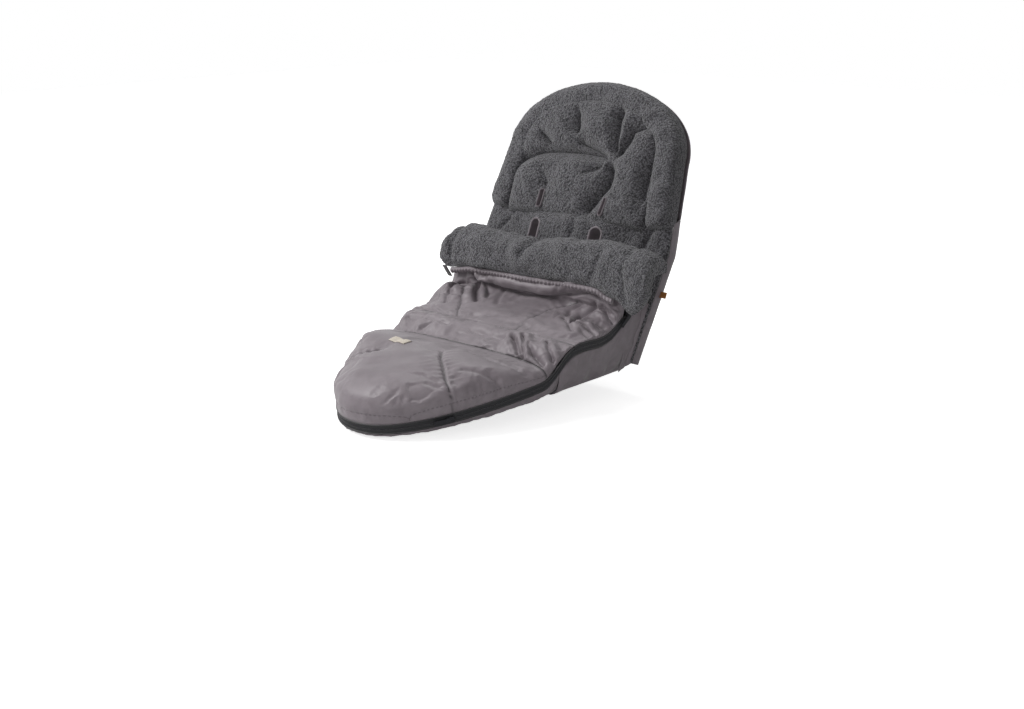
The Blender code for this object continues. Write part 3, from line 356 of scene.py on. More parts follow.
# Foot pocket: a sole of satin, wadding and pile, and a low padded wall that runs round the toe.
# The wall is one long strip eased round the toe, with small puckers under the zip.
sole = dress(thin_copy("sole_satin_base", "sole_shell", 1), satin, "sole_shell", "foot")
sole_fill = dress(thin_copy("sole_wadding_pad", "sole_wadding", 1), wadding, "sole_wadding", "foot")
# the wadding is cut smaller than the sole all round, so that its edge stays inside the wall
places, normals = read(sole_fill)
write(sole_fill, (places - (0.0, -0.25, 0.0)) * (0.955, 0.965, 1.0) + (0.0, -0.25, 0.0))
sole_pile = dress(pile_face(cut_from("sole_pile_top", "sole_lining"), 7), pile, "sole_lining", "foot")


def puckers(along, rate, sway, slow):
    """A wave from -1 to 1 along a seam, with a pitch that sways: a sine whose phase a slower sine pushes."""
    return np.sin(along * rate + sway * np.sin(along * slow))


foot_wall = thin_copy("foot_wall_satin", "foot_wall_shell", 3)
places, normals = read(foot_wall)
round_toe = np.arctan2(places[:, 0], -places[:, 1] - 0.18)
write(foot_wall, places + normals * (0.0006 * puckers(round_toe, 60.0, 3.0, 7.0)
                                     + 0.0007 * ripple(places, 0.03, 41))[:, None])
bends(dress(foot_wall, satin, "foot_wall_shell"))
foot_wall_pile = dress(pile_face(cut_from("foot_wall_pile", "foot_wall_lining"), 9), pile, "foot_wall_lining")
bends(foot_wall_pile)

# Foot cover: a puffed satin panel with wadding and pile under it, cut round the toe, with two darts.
# It is sewn to the knee strip along its straight edge and zipped to the foot's wall all round the toe.
def through(points, share):
    """A smooth curve through (share, height) points: a cubic between neighbours, with their mean slopes."""
    x, f = np.array(points).T
    i = np.searchsorted(x[1:-1], share, side="left")
    before, after = np.maximum(i - 1, 0), np.minimum(i + 2, len(x) - 1)
    width = x[i + 1] - x[i]
    t = np.clip((share - x[i]) / width, 0.0, 1.0)
    slope_a = (f[i + 1] - f[before]) / (x[i + 1] - x[before])
    slope_b = (f[after] - f[i]) / (x[after] - x[i])
    return ((1 + 2 * t) * (1 - t) ** 2 * f[i] + t * (1 - t) ** 2 * width * slope_a
            + t * t * (3 - 2 * t) * f[i + 1] + t * t * (t - 1) * width * slope_b)


def mixed(a, b, share):
    """a at share 0, b at share 1, straight between."""
    return a + (b - a) * share


# the foot end's length and half its width, and the height of a zip's upper tape
FOOT_LONG, FOOT_HALF, TAPE = 0.305, 0.205, 0.009


def foot_zip(run):
    """Height of the toe zip over the sole, at a distance from the fold line."""
    return 0.031 * through(((0.0, 1.7), (0.04, 1.38), (0.09, 1.08), (0.16, 1.0), (1.0, 0.65), (1.2, 0.6)),
                           np.maximum(run, 0.0) / FOOT_LONG)


def powered(value, power):
    """A power of the size of a value, with the value's sign: the curve of a superellipse."""
    return np.copysign(np.abs(value) ** power, value)


def toe_outline(q, inset):
    """Outline round the toe as x + i run: q runs from -1 at the left end of the fold to 1 at the right."""
    def raw(value):
        run = FOOT_LONG * np.maximum(0.0, 1.0 - value * value) ** (1.0 / 1.2)
        return FOOT_HALF * powered(value, 0.909) + 1j * run
    q = np.asarray(q, float)
    ahead = raw(np.minimum(q + 0.01, 1.0)) - raw(np.maximum(q - 0.01, -1.0))
    out = -ahead.imag + 1j * ahead.real * (1.0 - eased(0.8, 1.0, np.abs(q)))
    return raw(q) - out / np.abs(out) * inset


# the foot hangs 8 degrees down from the fold line
FOOT_COS, FOOT_SIN = math.cos(math.radians(8.0)), math.sin(math.radians(8.0))


def in_row(x, run, level):
    """From the foot's own flat draft to the row. Near the fold line the draft leans back, to end upright there."""
    y = level * FOOT_SIN / FOOT_COS * (1.0 - eased(0.0, 0.05, run)) - run - 0.00025
    return np.stack([x, y * FOOT_COS - level * FOOT_SIN + FOLD, y * FOOT_SIN + level * FOOT_COS], -1)


def crowned(share):
    """Rounded crown of a puffed panel: where a share of its width lies across, and its height there."""
    angle = share * math.pi / 2
    return powered(np.sin(angle), 0.625), np.maximum(0.0, np.cos(angle)) ** 0.625


# the distance of the cover's knee seam from the fold line, where on the toe's outline that seam ends, and where
# the cover's side turns into its front
KNEE_SEAM = 0.026
COVER_END, COVER_CORNER = math.sqrt(1.0 - (KNEE_SEAM / FOOT_LONG) ** 1.2), 0.42


def patch(edge, left, right, u, v):
    """Flat sheet inside a curved outline, blended between its four edges. Its sides follow edge between the two
    values of left and of right, its far end between their last values, and its near end is straight."""
    across, out = (u + 1) / 2, (v + 1) / 2
    near, far = mixed(edge(left[0]), edge(right[0]), across), edge(mixed(left[1], right[1], across))
    sides = mixed(edge(mixed(*left, out)), edge(mixed(*right, out)), across)
    return sides + mixed(near, far, out) - mixed(near, mixed(edge(left[1]), edge(right[1]), across), out)


def cover_draft(u, v, depth):
    """Foot cover in its own draft: x, run and level, a superellipse dome that thins towards the knee seam."""
    across, rise = crowned(u)
    reach, fall = crowned(np.maximum(v, 0.0))
    out = np.where(v < 0.0, mixed(-1.0, 0.15, v + 1.0), mixed(0.15, 1.0, reach))
    fall = np.where(v < 0.0, 1.0, fall)
    flat = patch(lambda q: toe_outline(q, depth), (-COVER_END, -COVER_CORNER), (COVER_END, COVER_CORNER), across, out)
    lift = mixed(0.47, 1.0, np.sin(np.minimum(1.0, (out + 1.0) / 0.65) * math.pi / 2))
    level = foot_zip(flat.imag) + TAPE + 0.0003 + (0.062 * lift - depth) * rise * fall
    return flat.real, flat.imag, level


def grid(n, m):
    """Two arrays of u and v from -1 to 1, n by m."""
    return np.meshgrid(np.linspace(-1, 1, n), np.linspace(-1, 1, m), indexing="ij")


def facing(surface):
    """Outward unit normals of a grid of places: the cross product of its two slopes."""
    a, b = np.gradient(surface, axis=0), np.gradient(surface, axis=1)
    out = np.cross(a, b)
    return out / np.maximum(np.linalg.norm(out, axis=-1, keepdims=True), 1e-12)


def squares(index):
    """Four-sided faces between the neighbours of a grid of vertex numbers."""
    return np.stack([index[:-1, :-1], index[1:, :-1], index[1:, 1:], index[:-1, 1:]], -1).reshape(-1, 4)


def solid(name, places, faces):
    """A smooth closed piece from places and faces, with all its normals turned outward."""
    mesh = bpy.data.meshes.new(name)
    mesh.from_pydata(places.reshape(-1, 3), [], faces)
    mesh.validate()
    bm = bmesh.new()
    bm.from_mesh(mesh)
    bmesh.ops.recalc_face_normals(bm, faces=bm.faces[:])
    if bm.calc_volume(signed=True) < 0.0:
        bmesh.ops.reverse_faces(bm, faces=bm.faces[:])
    bm.to_mesh(mesh)
    bm.free()
    mesh.shade_smooth()
    return linked(name, mesh)


def sewn(name, face, under):
    """A closed piece: a face and an underside, grids of the same size, joined round their border."""
    n, m = face.shape[:2]
    index = np.arange(n * m).reshape(n, m)
    quads = squares(index)
    rim = np.concatenate([index[:, 0], index[-1, 1:], index[-2::-1, -1], index[0, -2:0:-1]])
    after = np.roll(rim, -1)
    wall = np.stack([rim, rim + n * m, after + n * m, after], -1)
    return solid(name, np.stack([face, under]), np.concatenate([quads, quads[:, ::-1] + n * m, wall]).tolist())


def billow(face, held, fullness, pressure, cap):
    """Cloth between its seams: the sheet is cut fuller than its frame by this share and blown out by the
    wadding's pressure, so that it wrinkles where it is held. Returns how far each place moves, up to cap."""
    n, m = face.shape[:2]
    mesh = bpy.data.meshes.new("sheet_on_trial")
    mesh.from_pydata(face.reshape(-1, 3), [], squares(np.arange(n * m).reshape(n, m)).tolist())
    sheet = linked("sheet_on_trial", mesh)
    group = sheet.vertex_groups.new(name="held")
    weight = np.round(held.ravel(), 1)
    for level in np.unique(weight[weight > 0.0]):
        group.add(np.flatnonzero(weight == level).tolist(), float(level), "REPLACE")
    cloth = sheet.modifiers.new("cloth", "CLOTH")
    cloth.settings.quality = 4
    cloth.settings.mass = 0.15
    cloth.settings.tension_stiffness = cloth.settings.compression_stiffness = 12.0
    cloth.settings.shear_stiffness = 4.0
    cloth.settings.bending_stiffness = 0.15
    cloth.settings.vertex_group_mass = "held"
    cloth.settings.shrink_min = -fullness
    cloth.settings.use_pressure = True
    cloth.settings.uniform_pressure_force = pressure
    cloth.settings.effector_weights.gravity = 0.0
    cloth.collision_settings.use_collision = False
    cloth.point_cache.frame_start, cloth.point_cache.frame_end = 1, 20
    for step in range(1, 21):
        scene.frame_set(step)
    blown = np.empty(n * m * 3, np.float32)
    sheet.evaluated_get(bpy.context.evaluated_depsgraph_get()).data.vertices.foreach_get("co", blown)
    bpy.data.objects.remove(sheet)
    scene.frame_set(1)
    move = blown.reshape(n, m, 3) - face
    far = np.linalg.norm(move, axis=-1, keepdims=True)
    return move * np.minimum(1.0, cap / np.maximum(far, 1e-9))


def sampled(field, u, v):
    """Values of a grid over -1 to 1 read at places u, v, straight between neighbours."""
    rows, columns = (u + 1) / 2 * (field.shape[0] - 1), (v + 1) / 2 * (field.shape[1] - 1)
    i, j = np.minimum(rows.astype(int), field.shape[0] - 2), np.minimum(columns.astype(int), field.shape[1] - 2)
    a, b = (rows - i)[..., None], (columns - j)[..., None]
    return mixed(mixed(field[i, j], field[i + 1, j], a), mixed(field[i, j + 1], field[i + 1, j + 1], a), b)


def finer(field, u, v):
    """A grid of values read at the places of a finer grid, then smoothed twice."""
    field = sampled(field, u, v)
    for _ in range(2):
        inner = field[1:-1, 1:-1]
        inner[:] = inner * 0.5 + (field[:-2, 1:-1] + field[2:, 1:-1] + field[1:-1, :-2] + field[1:-1, 2:]) * 0.125
    return field


def inward(u, v):
    """Distance from the border of a grid, in its own units."""
    return np.minimum(1.0 - np.abs(u), 1.0 - np.abs(v))


def puffed_panel(name, draft, swell, form, size, fine, held, fullness, pressure, cap):
    """A satin panel: draft(u, v, depth) gives its places, swell(u, v, places) blows the whole draft up, and
    form(u, v, places) gives the lift of its face along its normals and the painted shade of its seams. The cloth
    is simulated on a grid of this size, held as held(u, v, places) says, and the folds are drawn on a fine one."""
    def blown(u, v):
        fade = (1.0 - np.abs(u) ** 12) * (1.0 - np.abs(v) ** 12)
        return draft(u, v, -swell(u, v, draft(u, v, 0.0)) * fade)
    u, v = grid(*fine)
    face = blown(u, v)
    out = facing(face)
    out = out * np.sign(out[..., 2].mean())
    lift, seam = form(u, v, face)
    cu, cv = grid(*size)
    coarse = blown(cu, cv)
    # the pressure blows along the faces, so the grid is turned over where they look down
    turn = int(np.sign(facing(coarse)[..., 2].mean()))
    moved = billow(coarse[::turn], held(cu, cv, coarse)[::turn], fullness, pressure, cap)[::turn]
    face = face + finer(moved, u, v)
    piece = sewn(name, face + out * (lift * eased(0.0, 0.06, inward(u, v)))[..., None], draft(u, v, 0.0075))
    # the seam attribute carries the painted shade of the seams into the satin's colour
    shade = piece.data.attributes.new("seam", "FLOAT", "POINT")
    shade.data.foreach_set("value", np.float32([np.clip(seam, 0.0, 1.0), 0 * u]).ravel())
    return piece


def curls(places):
    """Height of the pile's curls at each place: lumps about 9 mm and 4.5 mm across."""
    return 0.0003 * ripple(places, 0.0088, 83) + 0.0006 * ripple(places, 0.0044, 84)


def under_panel(word, draft, reach):
    """Wadding and pile lining under a panel, as wide as reach. Wadding stops short of the border, and the
    lining rises round it to the satin, where the two are sewn together."""
    u, v = grid(90, 80)
    layers = (draft(u * reach * 0.95, v * 0.9, depth + 0 * u) for depth in (0.0098, 0.015))
    fill = dress(sewn(word + "_fill", *layers), wadding, word + "_wadding")
    u, v = grid(190, 160)
    border = eased(0.0, 0.1, inward(u, v))
    deep = mixed(0.008, 0.016, border)
    face = draft(u * reach, v * 0.995, deep + mixed(0.0035, 0.005, border))
    lining = sewn(word + "_pile", draft(u * reach, v * 0.995, deep), face)
    places, normals = read(lining)
    lower = np.arange(len(places)) >= u.size
    write(lining, places + normals * (curls(places) * lower)[:, None])
    return fill, dress(lining, pile, word + "_lining")


def off_line(across, along, line):
    """Distance of each place from a drawn line, and how far along the line its nearest point lies."""
    best, run, done = np.full(across.shape, 9.0), np.zeros(across.shape), 0.0
    for (xa, ya), (xb, yb) in zip(line, line[1:]):
        dx, dy = xb - xa, yb - ya
        length = math.hypot(dx, dy)
        share = np.clip(((across - xa) * dx + (along - ya) * dy) / length ** 2, 0.0, 1.0)
        far = np.hypot(across - xa - dx * share, along - ya - dy * share)
        run = np.where(far < best, done + share * length, run)
        best, done = np.minimum(best, far), done + length
    return best, run


def bell(far, width):
    """1 at distance 0, and fading to nothing over twice the width."""
    return np.exp(-(far / width) ** 2)


def pressed(across, along, line, depth, width):
    """A fold pressed in along a drawn line: a narrow valley between two low banks."""
    far, _ = off_line(across, along, line)
    return depth * (0.45 * bell(far - 1.5 * width, width) - bell(far, 0.5 * width))


def mm(sizes):
    """Millimetres as metres: a number, or tuples of numbers."""
    return tuple(map(mm, sizes)) if isinstance(sizes, tuple) else sizes / 1000


def folds(across, along, rows):
    """Sum of pressed folds, from rows of a line, a depth and a width in millimetres."""
    return sum(pressed(across, along, *row) for row in mm(rows))


def stitched(across, along, lines):
    """1 on drawn seam lines and 0 beside them, for the painted shade in the seam groove."""
    return sum(bell(off_line(across, along, line)[0], 0.0016) for line in lines)


def gathered(across, along, line, depth, pitch, reach, seed):
    """A sewn line: a groove, with puckers of this pitch that fade out on both sides."""
    far, run = off_line(across, along, line)
    phase = run * 2 * math.pi / pitch + 1.6 * np.sin(run * 47.0 + seed) + far * 60.0 * math.sin(seed)
    return depth * (np.cos(phase) * 0.6 * np.exp(-far / reach) * (1 - bell(far, 0.004)) - 1.6 * bell(far, 0.003))


def cover_places(u, v, depth):
    """Places of the cover in the row, at a depth under its face."""
    return in_row(*cover_draft(u, v, depth))


# the two darts as (x, distance from the fold line) points
COVER_DARTS = mm((((29, 104), (60, 139), (113, 184), (140, 200), (158, 218)),
                  ((-72, 152), (-92, 170), (-118, 193), (-150, 222))))
# each fold as its line, its depth and its width, in millimetres
COVER_FOLDS = (
    (((136, 192), (152, 170)), 2.2, 6),
    (((95, 214), (130, 198)), 1.8, 6),
    (((120, 147), (172, 112)), 2, 8),
    (((170, 62), (120, 78), (60, 70)), 2, 10),
    (((-165, 150), (-140, 180)), 2, 6),
    (((-178, 100), (-150, 118)), 1.8, 6))


def cover_swell(u, v, places):
    """The filling has gathered at the left of the knee seam and stands higher there."""
    run = (FOLD - places[..., 1]) * FOOT_COS - places[..., 2] * FOOT_SIN
    return 0.016 * (1.0 - eased(0.0, 0.55, np.hypot(places[..., 0] / FOOT_HALF + 0.8, run / FOOT_LONG - 0.22)))


def cover_form(u, v, places):
    """Darts with puckers, tension folds that run in from the zip, and soft unevenness of the filling."""
    x, run, _ = cover_draft(u, v, 0.0)
    lift = sum(gathered(x, run, dart, 0.0022, 0.014, 0.014, number + 2.0) for number, dart in enumerate(COVER_DARTS))
    lift += folds(x, run, COVER_FOLDS)
    skirt = np.minimum(1.0 - np.abs(u), 1.0 - np.maximum(v, 0.0))
    angle = np.arctan2(x, run - 0.08)
    lift += 0.001 * np.exp(-skirt / 0.1) * puckers(angle, 48.0, 3.0, 6.0)
    lift += 0.0009 * np.exp(-(run - KNEE_SEAM) / 0.012) * puckers(x, 420.0, 2.0, 60.0)
    # a line of stitches beside the zip, in a shallow groove; its darker dashes are partly the stitches and partly
    # painted shade
    beside = skirt - 0.085
    lift -= 0.001 * bell(beside, 0.014)
    stitch = 0.5 * bell(beside, 0.01) * (np.sin(angle * 160.0) > 0)
    # the second value is painted shade: dark lines in the two darts, the dashed topstitch and a dark line along the
    # knee seam
    return (lift + 0.0014 * ripple(places, 0.08, 51) + 0.0004 * ripple(places, 0.03, 52),
            stitched(x, run, COVER_DARTS) + stitch + bell(1.0 + v, 0.008))


def cover_held(u, v, places):
    """Held by its border seams, and half held along its darts."""
    x, run, _ = cover_draft(u, v, 0.0)
    held = 1.0 - eased(0.0, 0.1, inward(u, v))
    for dart in COVER_DARTS:
        held = np.maximum(held, 0.8 * bell(off_line(x, run, dart)[0], 0.004))
    return held


COVER_GRID = (250, 230)
cover = dress(puffed_panel("foot_cover_satin", cover_places, cover_swell, cover_form, (104, 90), COVER_GRID,
                           cover_held, fullness=0.01, pressure=1.0, cap=0.004),
              satin, "foot_cover_shell", "foot_cover")
for piece in under_panel("foot_cover", cover_places, 0.97):
    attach(piece, "foot_cover")

# The woven label is sewn flat on the cover, beside the knee seam, and follows the puffed satin.
woven = textured(material("woven_cream_label", "#C9C0B2", 0.75, Sheen_Weight=0.2), "TexWave", "#BDB3A5", "#D3CBBE",
                 0.25, 0.0003, Scale=420.0, Distortion=0.6, bands_direction="Y")
face = read(cover)[0][:math.prod(COVER_GRID)].reshape(*COVER_GRID, 3)
out = facing(face)
out = out * np.sign(out[..., 2].mean())
u, v = grid(30, 24)
spot, way = (sampled(field, -0.135 + 0.065 * u, -0.6 + 0.055 * v) for field in (face, out))
folded = 0.0006 * eased(0.12, 0.0, inward(u, v))[..., None]
label = dress(sewn("label_woven", spot + way * (0.0019 - folded), spot + way * 0.0003), woven, "label", "foot_cover")

# Apron: the panel over the lap, between the side zips, from the knee strip up under the cuff.
# Satin cut full over thick wadding: it folds where the lap bends it, and a puffed lip stands under the hem.
# Its middle line and its side line are (share, y) and (share, z) points, from the knee seam up to the cuff.
SEAT_HALF, APRON_HIGH = 0.205, 0.2035
APRON_MID = (((0.0, -0.06), (0.16, -0.03), (0.34, 0.005), (0.5, 0.036), (0.6, 0.055), (0.68, 0.066),
              (0.75, 0.0625), (0.83, 0.064), (0.91, 0.076), (1.0, 0.098), (1.1, 0.122)),
             ((0.0, 0.0915), (0.16, 0.096), (0.34, 0.102), (0.5, 0.1095), (0.6, 0.115), (0.68, 0.1235),
              (0.75, 0.137), (0.83, 0.155), (0.91, 0.174), (1.0, 0.204), (1.1, 0.23)))
APRON_SIDE = ((0.0, -0.06), (0.16, -0.034), (0.34, -0.003), (0.5, 0.028), (0.66, 0.062), (0.78, 0.084),
              (0.88, 0.091), (1.0, 0.098), (1.1, 0.103))


def seat_zip(y):
    """Height of the side zip over the seat's underside."""
    return WALL_HIGH * through(((-0.1, 0.27), (0.0, 0.36), (0.09, 0.46), (0.2, 0.525), (0.35, 0.535), (0.5, 0.525),
                                (0.62, 0.55), (0.72, 0.615), (1.1, 1.005), (1.3, 1.2)), (y - FOLD) / SEAT_LONG)


def apron_places(u, v, depth):
    """Apron: u across, v from the knee strip's seam to the cuff. It thins out over the zips."""
    across, rise = crowned(u)
    share = (v + 1) / 2
    middle = [through(line, share) for line in APRON_MID]
    ahead = [through(line, share + 0.02) - through(line, share - 0.02) for line in APRON_MID]
    length = np.hypot(*ahead)
    edge_y = through(APRON_SIDE, share)
    edge_z = mixed(seat_zip(edge_y) + TAPE + 0.0003, APRON_HIGH, eased(0.76, 1.0, share))
    side = eased(0.62, 1.0, np.abs(u))
    y = mixed(edge_y, middle[0], rise) + ahead[1] / length * depth * (1.0 - side)
    z = mixed(edge_z, middle[1], rise) - ahead[0] / length * depth * (1.0 - side)
    return np.stack([(SEAT_HALF - np.minimum(depth, 0.003) * side) * across, y, z], -1)


# the lip's lower edge as (x, z) points, and the two shaped seams as (x, distance up the apron)
LIP = mm(((-163, 160), (-137, 131), (-75, 125), (-15, 123), (55, 127), (112, 144), (157, 163)))
APRON_SEAMS = mm((((62, -60), (60, -20), (66, 30), (88, 58), (110, 66)),
                  ((-85, -60), (-105, -30), (-128, 4), (-150, 40))))
APRON_FOLDS = (
    (((-146, 75), (-128, 50), (-110, 28), (-92, 8)), 7.5, 10),
    (((-176, 40), (-168, 10), (-150, -18)), 4, 10),
    (((-119, 66), (-95, 45), (-79, 22)), 3.5, 7),
    (((-72, 66), (-60, 40), (-47, 16)), 3, 7),
    (((-30, 64), (-24, 40)), 2, 6),
    (((153, 70), (140, 40), (147, 4)), 4, 7),
    (((170, 70), (186, 62), (200, 58)), 3.5, 6),
    (((124, 10), (150, -6), (168, -20)), 3.8, 7),
    (((147, 6), (172, 10), (200, 4)), 4.8, 6),
    (((120, 66), (112, 46), (118, 26)), 2.8, 7),
    (((198, 36), (172, 28)), 3, 5),
    (((20, -40), (60, -34), (100, -46)), 2, 12),
    (((-60, -44), (-20, -30)), 2, 12))
LIP_FOLDS = (
    (((-30, 160), (-10, 137)), 2.5, 5),
    (((0, 162), (30, 140)), 2.5, 5),
    (((80, 160), (70, 142)), 2.5, 5))


def apron_swell(u, v, places):
    """The filling stands high under the cuff's left end and at the left side, and a little at the right."""
    x, y = places[..., 0] / SEAT_HALF, places[..., 1] / 0.1
    under_cuff = np.hypot((u + 0.93) / 0.4, ((v + 1) / 2 - 0.76) / 0.17)
    return (0.024 * (1.0 - eased(0.15, 1.0, under_cuff))
            + 0.031 * (1.0 - eased(0.0, 0.52, np.hypot(x + 0.88, y - 0.24)))
            + 0.008 * (1.0 - eased(0.0, 0.42, np.hypot(x - 0.66, y - 0.3))))


def apron_form(u, v, places):
    """Pressed folds, the two shaped seams with their puckers, the lip under the hem, and the filling."""
    x, y, z = np.moveaxis(places, -1, 0)
    way = y + np.maximum(z - 0.125, 0.0)
    lift = 1.3 * folds(x, way, APRON_FOLDS)
    for number, seam in enumerate(APRON_SEAMS):
        lift += gathered(x, way, seam, 0.002, 0.015, 0.013, number + 1.0)
    level = np.interp(x, *np.array(LIP).T)
    over = np.clip((z - level) / 0.031, 0.0, 1.0)
    steep = eased(0.045, 0.062, y) * eased(0.185, 0.16, np.abs(x))
    lift += steep * (0.012 * np.sin(math.pi * over ** 1.3) - 0.009 * bell(z - level, 0.004))
    lift += steep * folds(x, z, LIP_FOLDS)
    lift += 0.0012 * np.exp(-(1.0 - np.abs(u)) / 0.09) * puckers(y, 2 * math.pi / 0.013, 2.5, 70.0)
    # the second value is painted shade: dark lines in the two shaped seams and along the seam to the knee strip
    return (lift + 0.0018 * ripple(places, 0.06, 61) + 0.0006 * ripple(places * (1.0, 0.6, 0.8), 0.028, 62),
            stitched(x, way, APRON_SEAMS) + bell(1.0 + v, 0.01))


def apron_held(u, v, places):
    """Held by its seams, over a wider strip at the sides."""
    return 1.0 - eased(0.0, 0.12, np.minimum(1.0 - np.abs(u), (1.0 - np.abs(v)) * 1.2))


apron = dress(puffed_panel("apron_satin", apron_places, apron_swell, apron_form, (104, 72), (200, 150), apron_held,
                           fullness=0.035, pressure=0.9, cap=0.006), satin, "apron_shell", "apron")
for piece in under_panel("apron", apron_places, 0.7):
    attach(piece, "apron")

# Knee strip: the soft hinge between the foot cover and the apron, puffed and folded across.
# It is sewn to both, and its side edges are zipped down like theirs.
def knee_zip(share):
    """Places (y, z) of the zip beside the knee strip, from the cover's seam to the apron's."""
    y = mixed(in_row(0.0, KNEE_SEAM, 0.0)[1], -0.06, share)
    run = np.maximum((FOLD - y) / FOOT_COS, 0.0)
    bent = in_row(0.0 * run, run, foot_zip(run))
    return np.where(run > 0.0, bent[..., 1], y), np.where(run > 0.0, bent[..., 2], seat_zip(y))


def knee_places(u, v, depth):
    """Places of the strip: between the cover's edge and the apron's, on a line that follows the zip."""
    share = mixed(0.008, 0.992, (v + 1) / 2)
    front, rear = cover_places(u, -1.0 + 0.0 * v, depth), apron_places(u, -1.0 + 0.0 * v, depth)
    y, z = knee_zip(share)
    (y0, y1), (z0, z1) = knee_zip(np.array([0.0, 1.0]))
    place = mixed(front, rear, share[..., None])
    place[..., 1] += y - mixed(y0, y1, share)
    place[..., 2] += z - mixed(z0, z1, share) + 0.004 * np.sin(math.pi * share) * crowned(u)[1]
    return place


KNEE_FOLDS = (
    (((90, -94), (108, -106), (130, -123)), 7.5, 8),
    (((106, -84), (120, -98), (133, -112), (146, -128)), 6, 6),
    (((134, -100), (156, -116), (186, -124)), 4.5, 6),
    (((160, -80), (176, -96), (196, -108)), 3.5, 6),
    (((-10, -98), (30, -101), (72, -102)), 4, 11),
    (((-170, -100), (-120, -94), (-70, -98)), 3, 10),
    (((-120, -118), (-104, -104)), 2.5, 6),
    (((40, -124), (46, -110)), 2.2, 6),
    (((-20, -124), (-26, -112)), 2, 6))


def knee_form(u, v, places):
    """Pressed folds across the strip, puckers along its two seams, and soft unevenness of the filling."""
    x, y = places[..., 0], places[..., 1]
    lift = 1.4 * folds(x, y, KNEE_FOLDS)
    from_seam = 1.0 - np.abs(v)
    lift += 0.001 * np.exp(-from_seam / 0.22) * puckers(x, 380.0, 2.0, 50.0)
    # the second value is painted shade along the strip's seams to the cover and the apron
    return lift + 0.0016 * ripple(places, 0.045, 71) + 0.0005 * ripple(places, 0.022, 72), bell(from_seam, 0.03)


def knee_held(u, v, places):
    """Held by its seams, far into so short a strip."""
    return 1.0 - eased(0.0, 0.3, np.minimum((1.0 - np.abs(u)) * 2.0, 1.0 - np.abs(v)))


knee = dress(puffed_panel("knee_satin", knee_places, lambda u, v, places: 0.0 * u, knee_form, (104, 22), (190, 50),
                          knee_held, fullness=0.03, pressure=0.9, cap=0.004), satin, "knee_shell")
for piece in (knee, *under_panel("knee", knee_places, 0.7)):
    bends(piece)

# Cuff: the apron's pile edge, turned down over its front as a soft roll, with a gathered satin hem.
# Its top and its hem are heights along its width, as shares of CUFF_HIGH. Its section is given by (share, y)
# and (share, height) points from the hem over the fold to the seam, on the outside and on the inside.
CUFF_HIGH, CUFF_MID, CUFF_HALF = 0.236, 0.028, 0.256
CUFF_TOP = ((-1.0, 0.8), (-0.96, 0.93), (-0.86, 0.99), (-0.69, 0.995), (-0.4, 0.98), (-0.1, 0.97),
            (0.2, 1.025), (0.45, 1.045), (0.7, 1.045), (0.88, 1.03), (0.96, 1.0), (1.0, 0.96))
CUFF_HEM = ((-1.0, 0.7), (-0.96, 0.655), (-0.86, 0.66), (-0.7, 0.69), (-0.1, 0.7), (0.25, 0.715),
            (0.54, 0.71), (0.62, 0.67), (0.74, 0.635), (0.86, 0.55), (0.95, 0.62), (1.0, 0.72))
CUFF_OUT = (((0.0, -0.76), (0.14, -0.98), (0.3, -1.0), (0.46, -0.82), (0.62, -0.25), (0.74, 0.35),
             (0.86, 0.85), (1.0, 0.97)),
            ((0.0, 0.0), (0.14, 0.33), (0.3, 0.76), (0.46, 1.41), (0.62, 1.94), (0.74, 2.0),
             (0.86, 1.65), (1.0, 1.02)))
CUFF_IN = (((0.0, -0.42), (0.14, -0.38), (0.3, -0.3), (0.46, -0.14), (0.62, 0.08), (0.74, 0.35),
            (0.86, 0.6), (1.0, 0.8)),
           ((0.0, 0.06), (0.14, 0.39), (0.3, 0.7), (0.46, 0.93), (0.62, 1.02), (0.74, 1.02),
            (0.86, 1.02), (1.0, 1.02)))


def cuff_places(u, v, inner):
    """Cuff: u across, v from the hem over the fold to the seam, outside or inside."""
    x = CUFF_MID + CUFF_HALF * powered(np.sin(u * math.pi / 2), 0.92)
    reach, share = (x - CUFF_MID) / CUFF_HALF, (v + 1) / 2
    top, hem = CUFF_HIGH * through(CUFF_TOP, reach), CUFF_HIGH * through(CUFF_HEM, reach)
    along_y, along_z = CUFF_IN if inner else CUFF_OUT
    y, height = 0.076 + 0.033 * through(along_y, share), through(along_z, share)
    seam = np.minimum(0.2042, mixed(hem, top, 0.69))
    return np.stack([x, y, np.where(height > 1.0, mixed(seam, top, height - 1.0), mixed(hem, seam, height))], -1)


CUFF_FOLDS = (
    (((-198, 262), (-192, 225), (-200, 160)), 2.6, 10),
    (((10, 262), (0, 235), (-12, 205)), 5, 12),
    (((236, 262), (226, 220), (240, 150)), 3, 14),
    (((150, 175), (165, 200), (170, 235)), 3, 12))

u, v = grid(300, 110)
face, under = cuff_places(u, v, False), cuff_places(u, v, True)
out = facing(face)
out = out * np.sign(-(out[..., 1] * (v < 0)).mean())
x, level = face[..., 0], face[..., 2]
loose = eased(-1.0, -0.86, v) * eased(1.0, 0.8, v)
end = eased(1.0, 0.93, np.abs(u))
lump = 0.0032 * ripple(face * (0.8, 1.0, 1.0), 0.08, 81) + 0.0014 * ripple(face, 0.034, 82)
lift = (lump + folds(x, level, CUFF_FOLDS) + 0.002) * loose * end + curls(face) * (0.35 + 0.65 * loose)
cuff = dress(sewn("cuff_pile", face + out * lift[..., None], under), pile, "cuff", "cuff")

# The hem band: a strip of satin gathered to the cuff's edge, with a pucker every 8.5 mm.
u, v = grid(420, 14)
x = 0.204 * u
hem = CUFF_HIGH * through(CUFF_HEM, (x - CUFF_MID) / CUFF_HALF) - 0.001
gather = puckers(x, 2 * math.pi / 0.0085, 1.5, 70.0)
z = hem - 0.0112 * (1.0 + 0.1 * gather) * (1 - v) / 2
y = 0.0508 - 0.0042 * np.sin(math.pi * (v + 1) / 2) * (1.0 + 0.3 * gather)
hem_band = dress(sewn("cuff_hem_gathered", np.stack([x, y, z], -1), np.stack([x, 0.0546 + 0 * x, z], -1)), satin,
                 "cuff_hem_band", "cuff")

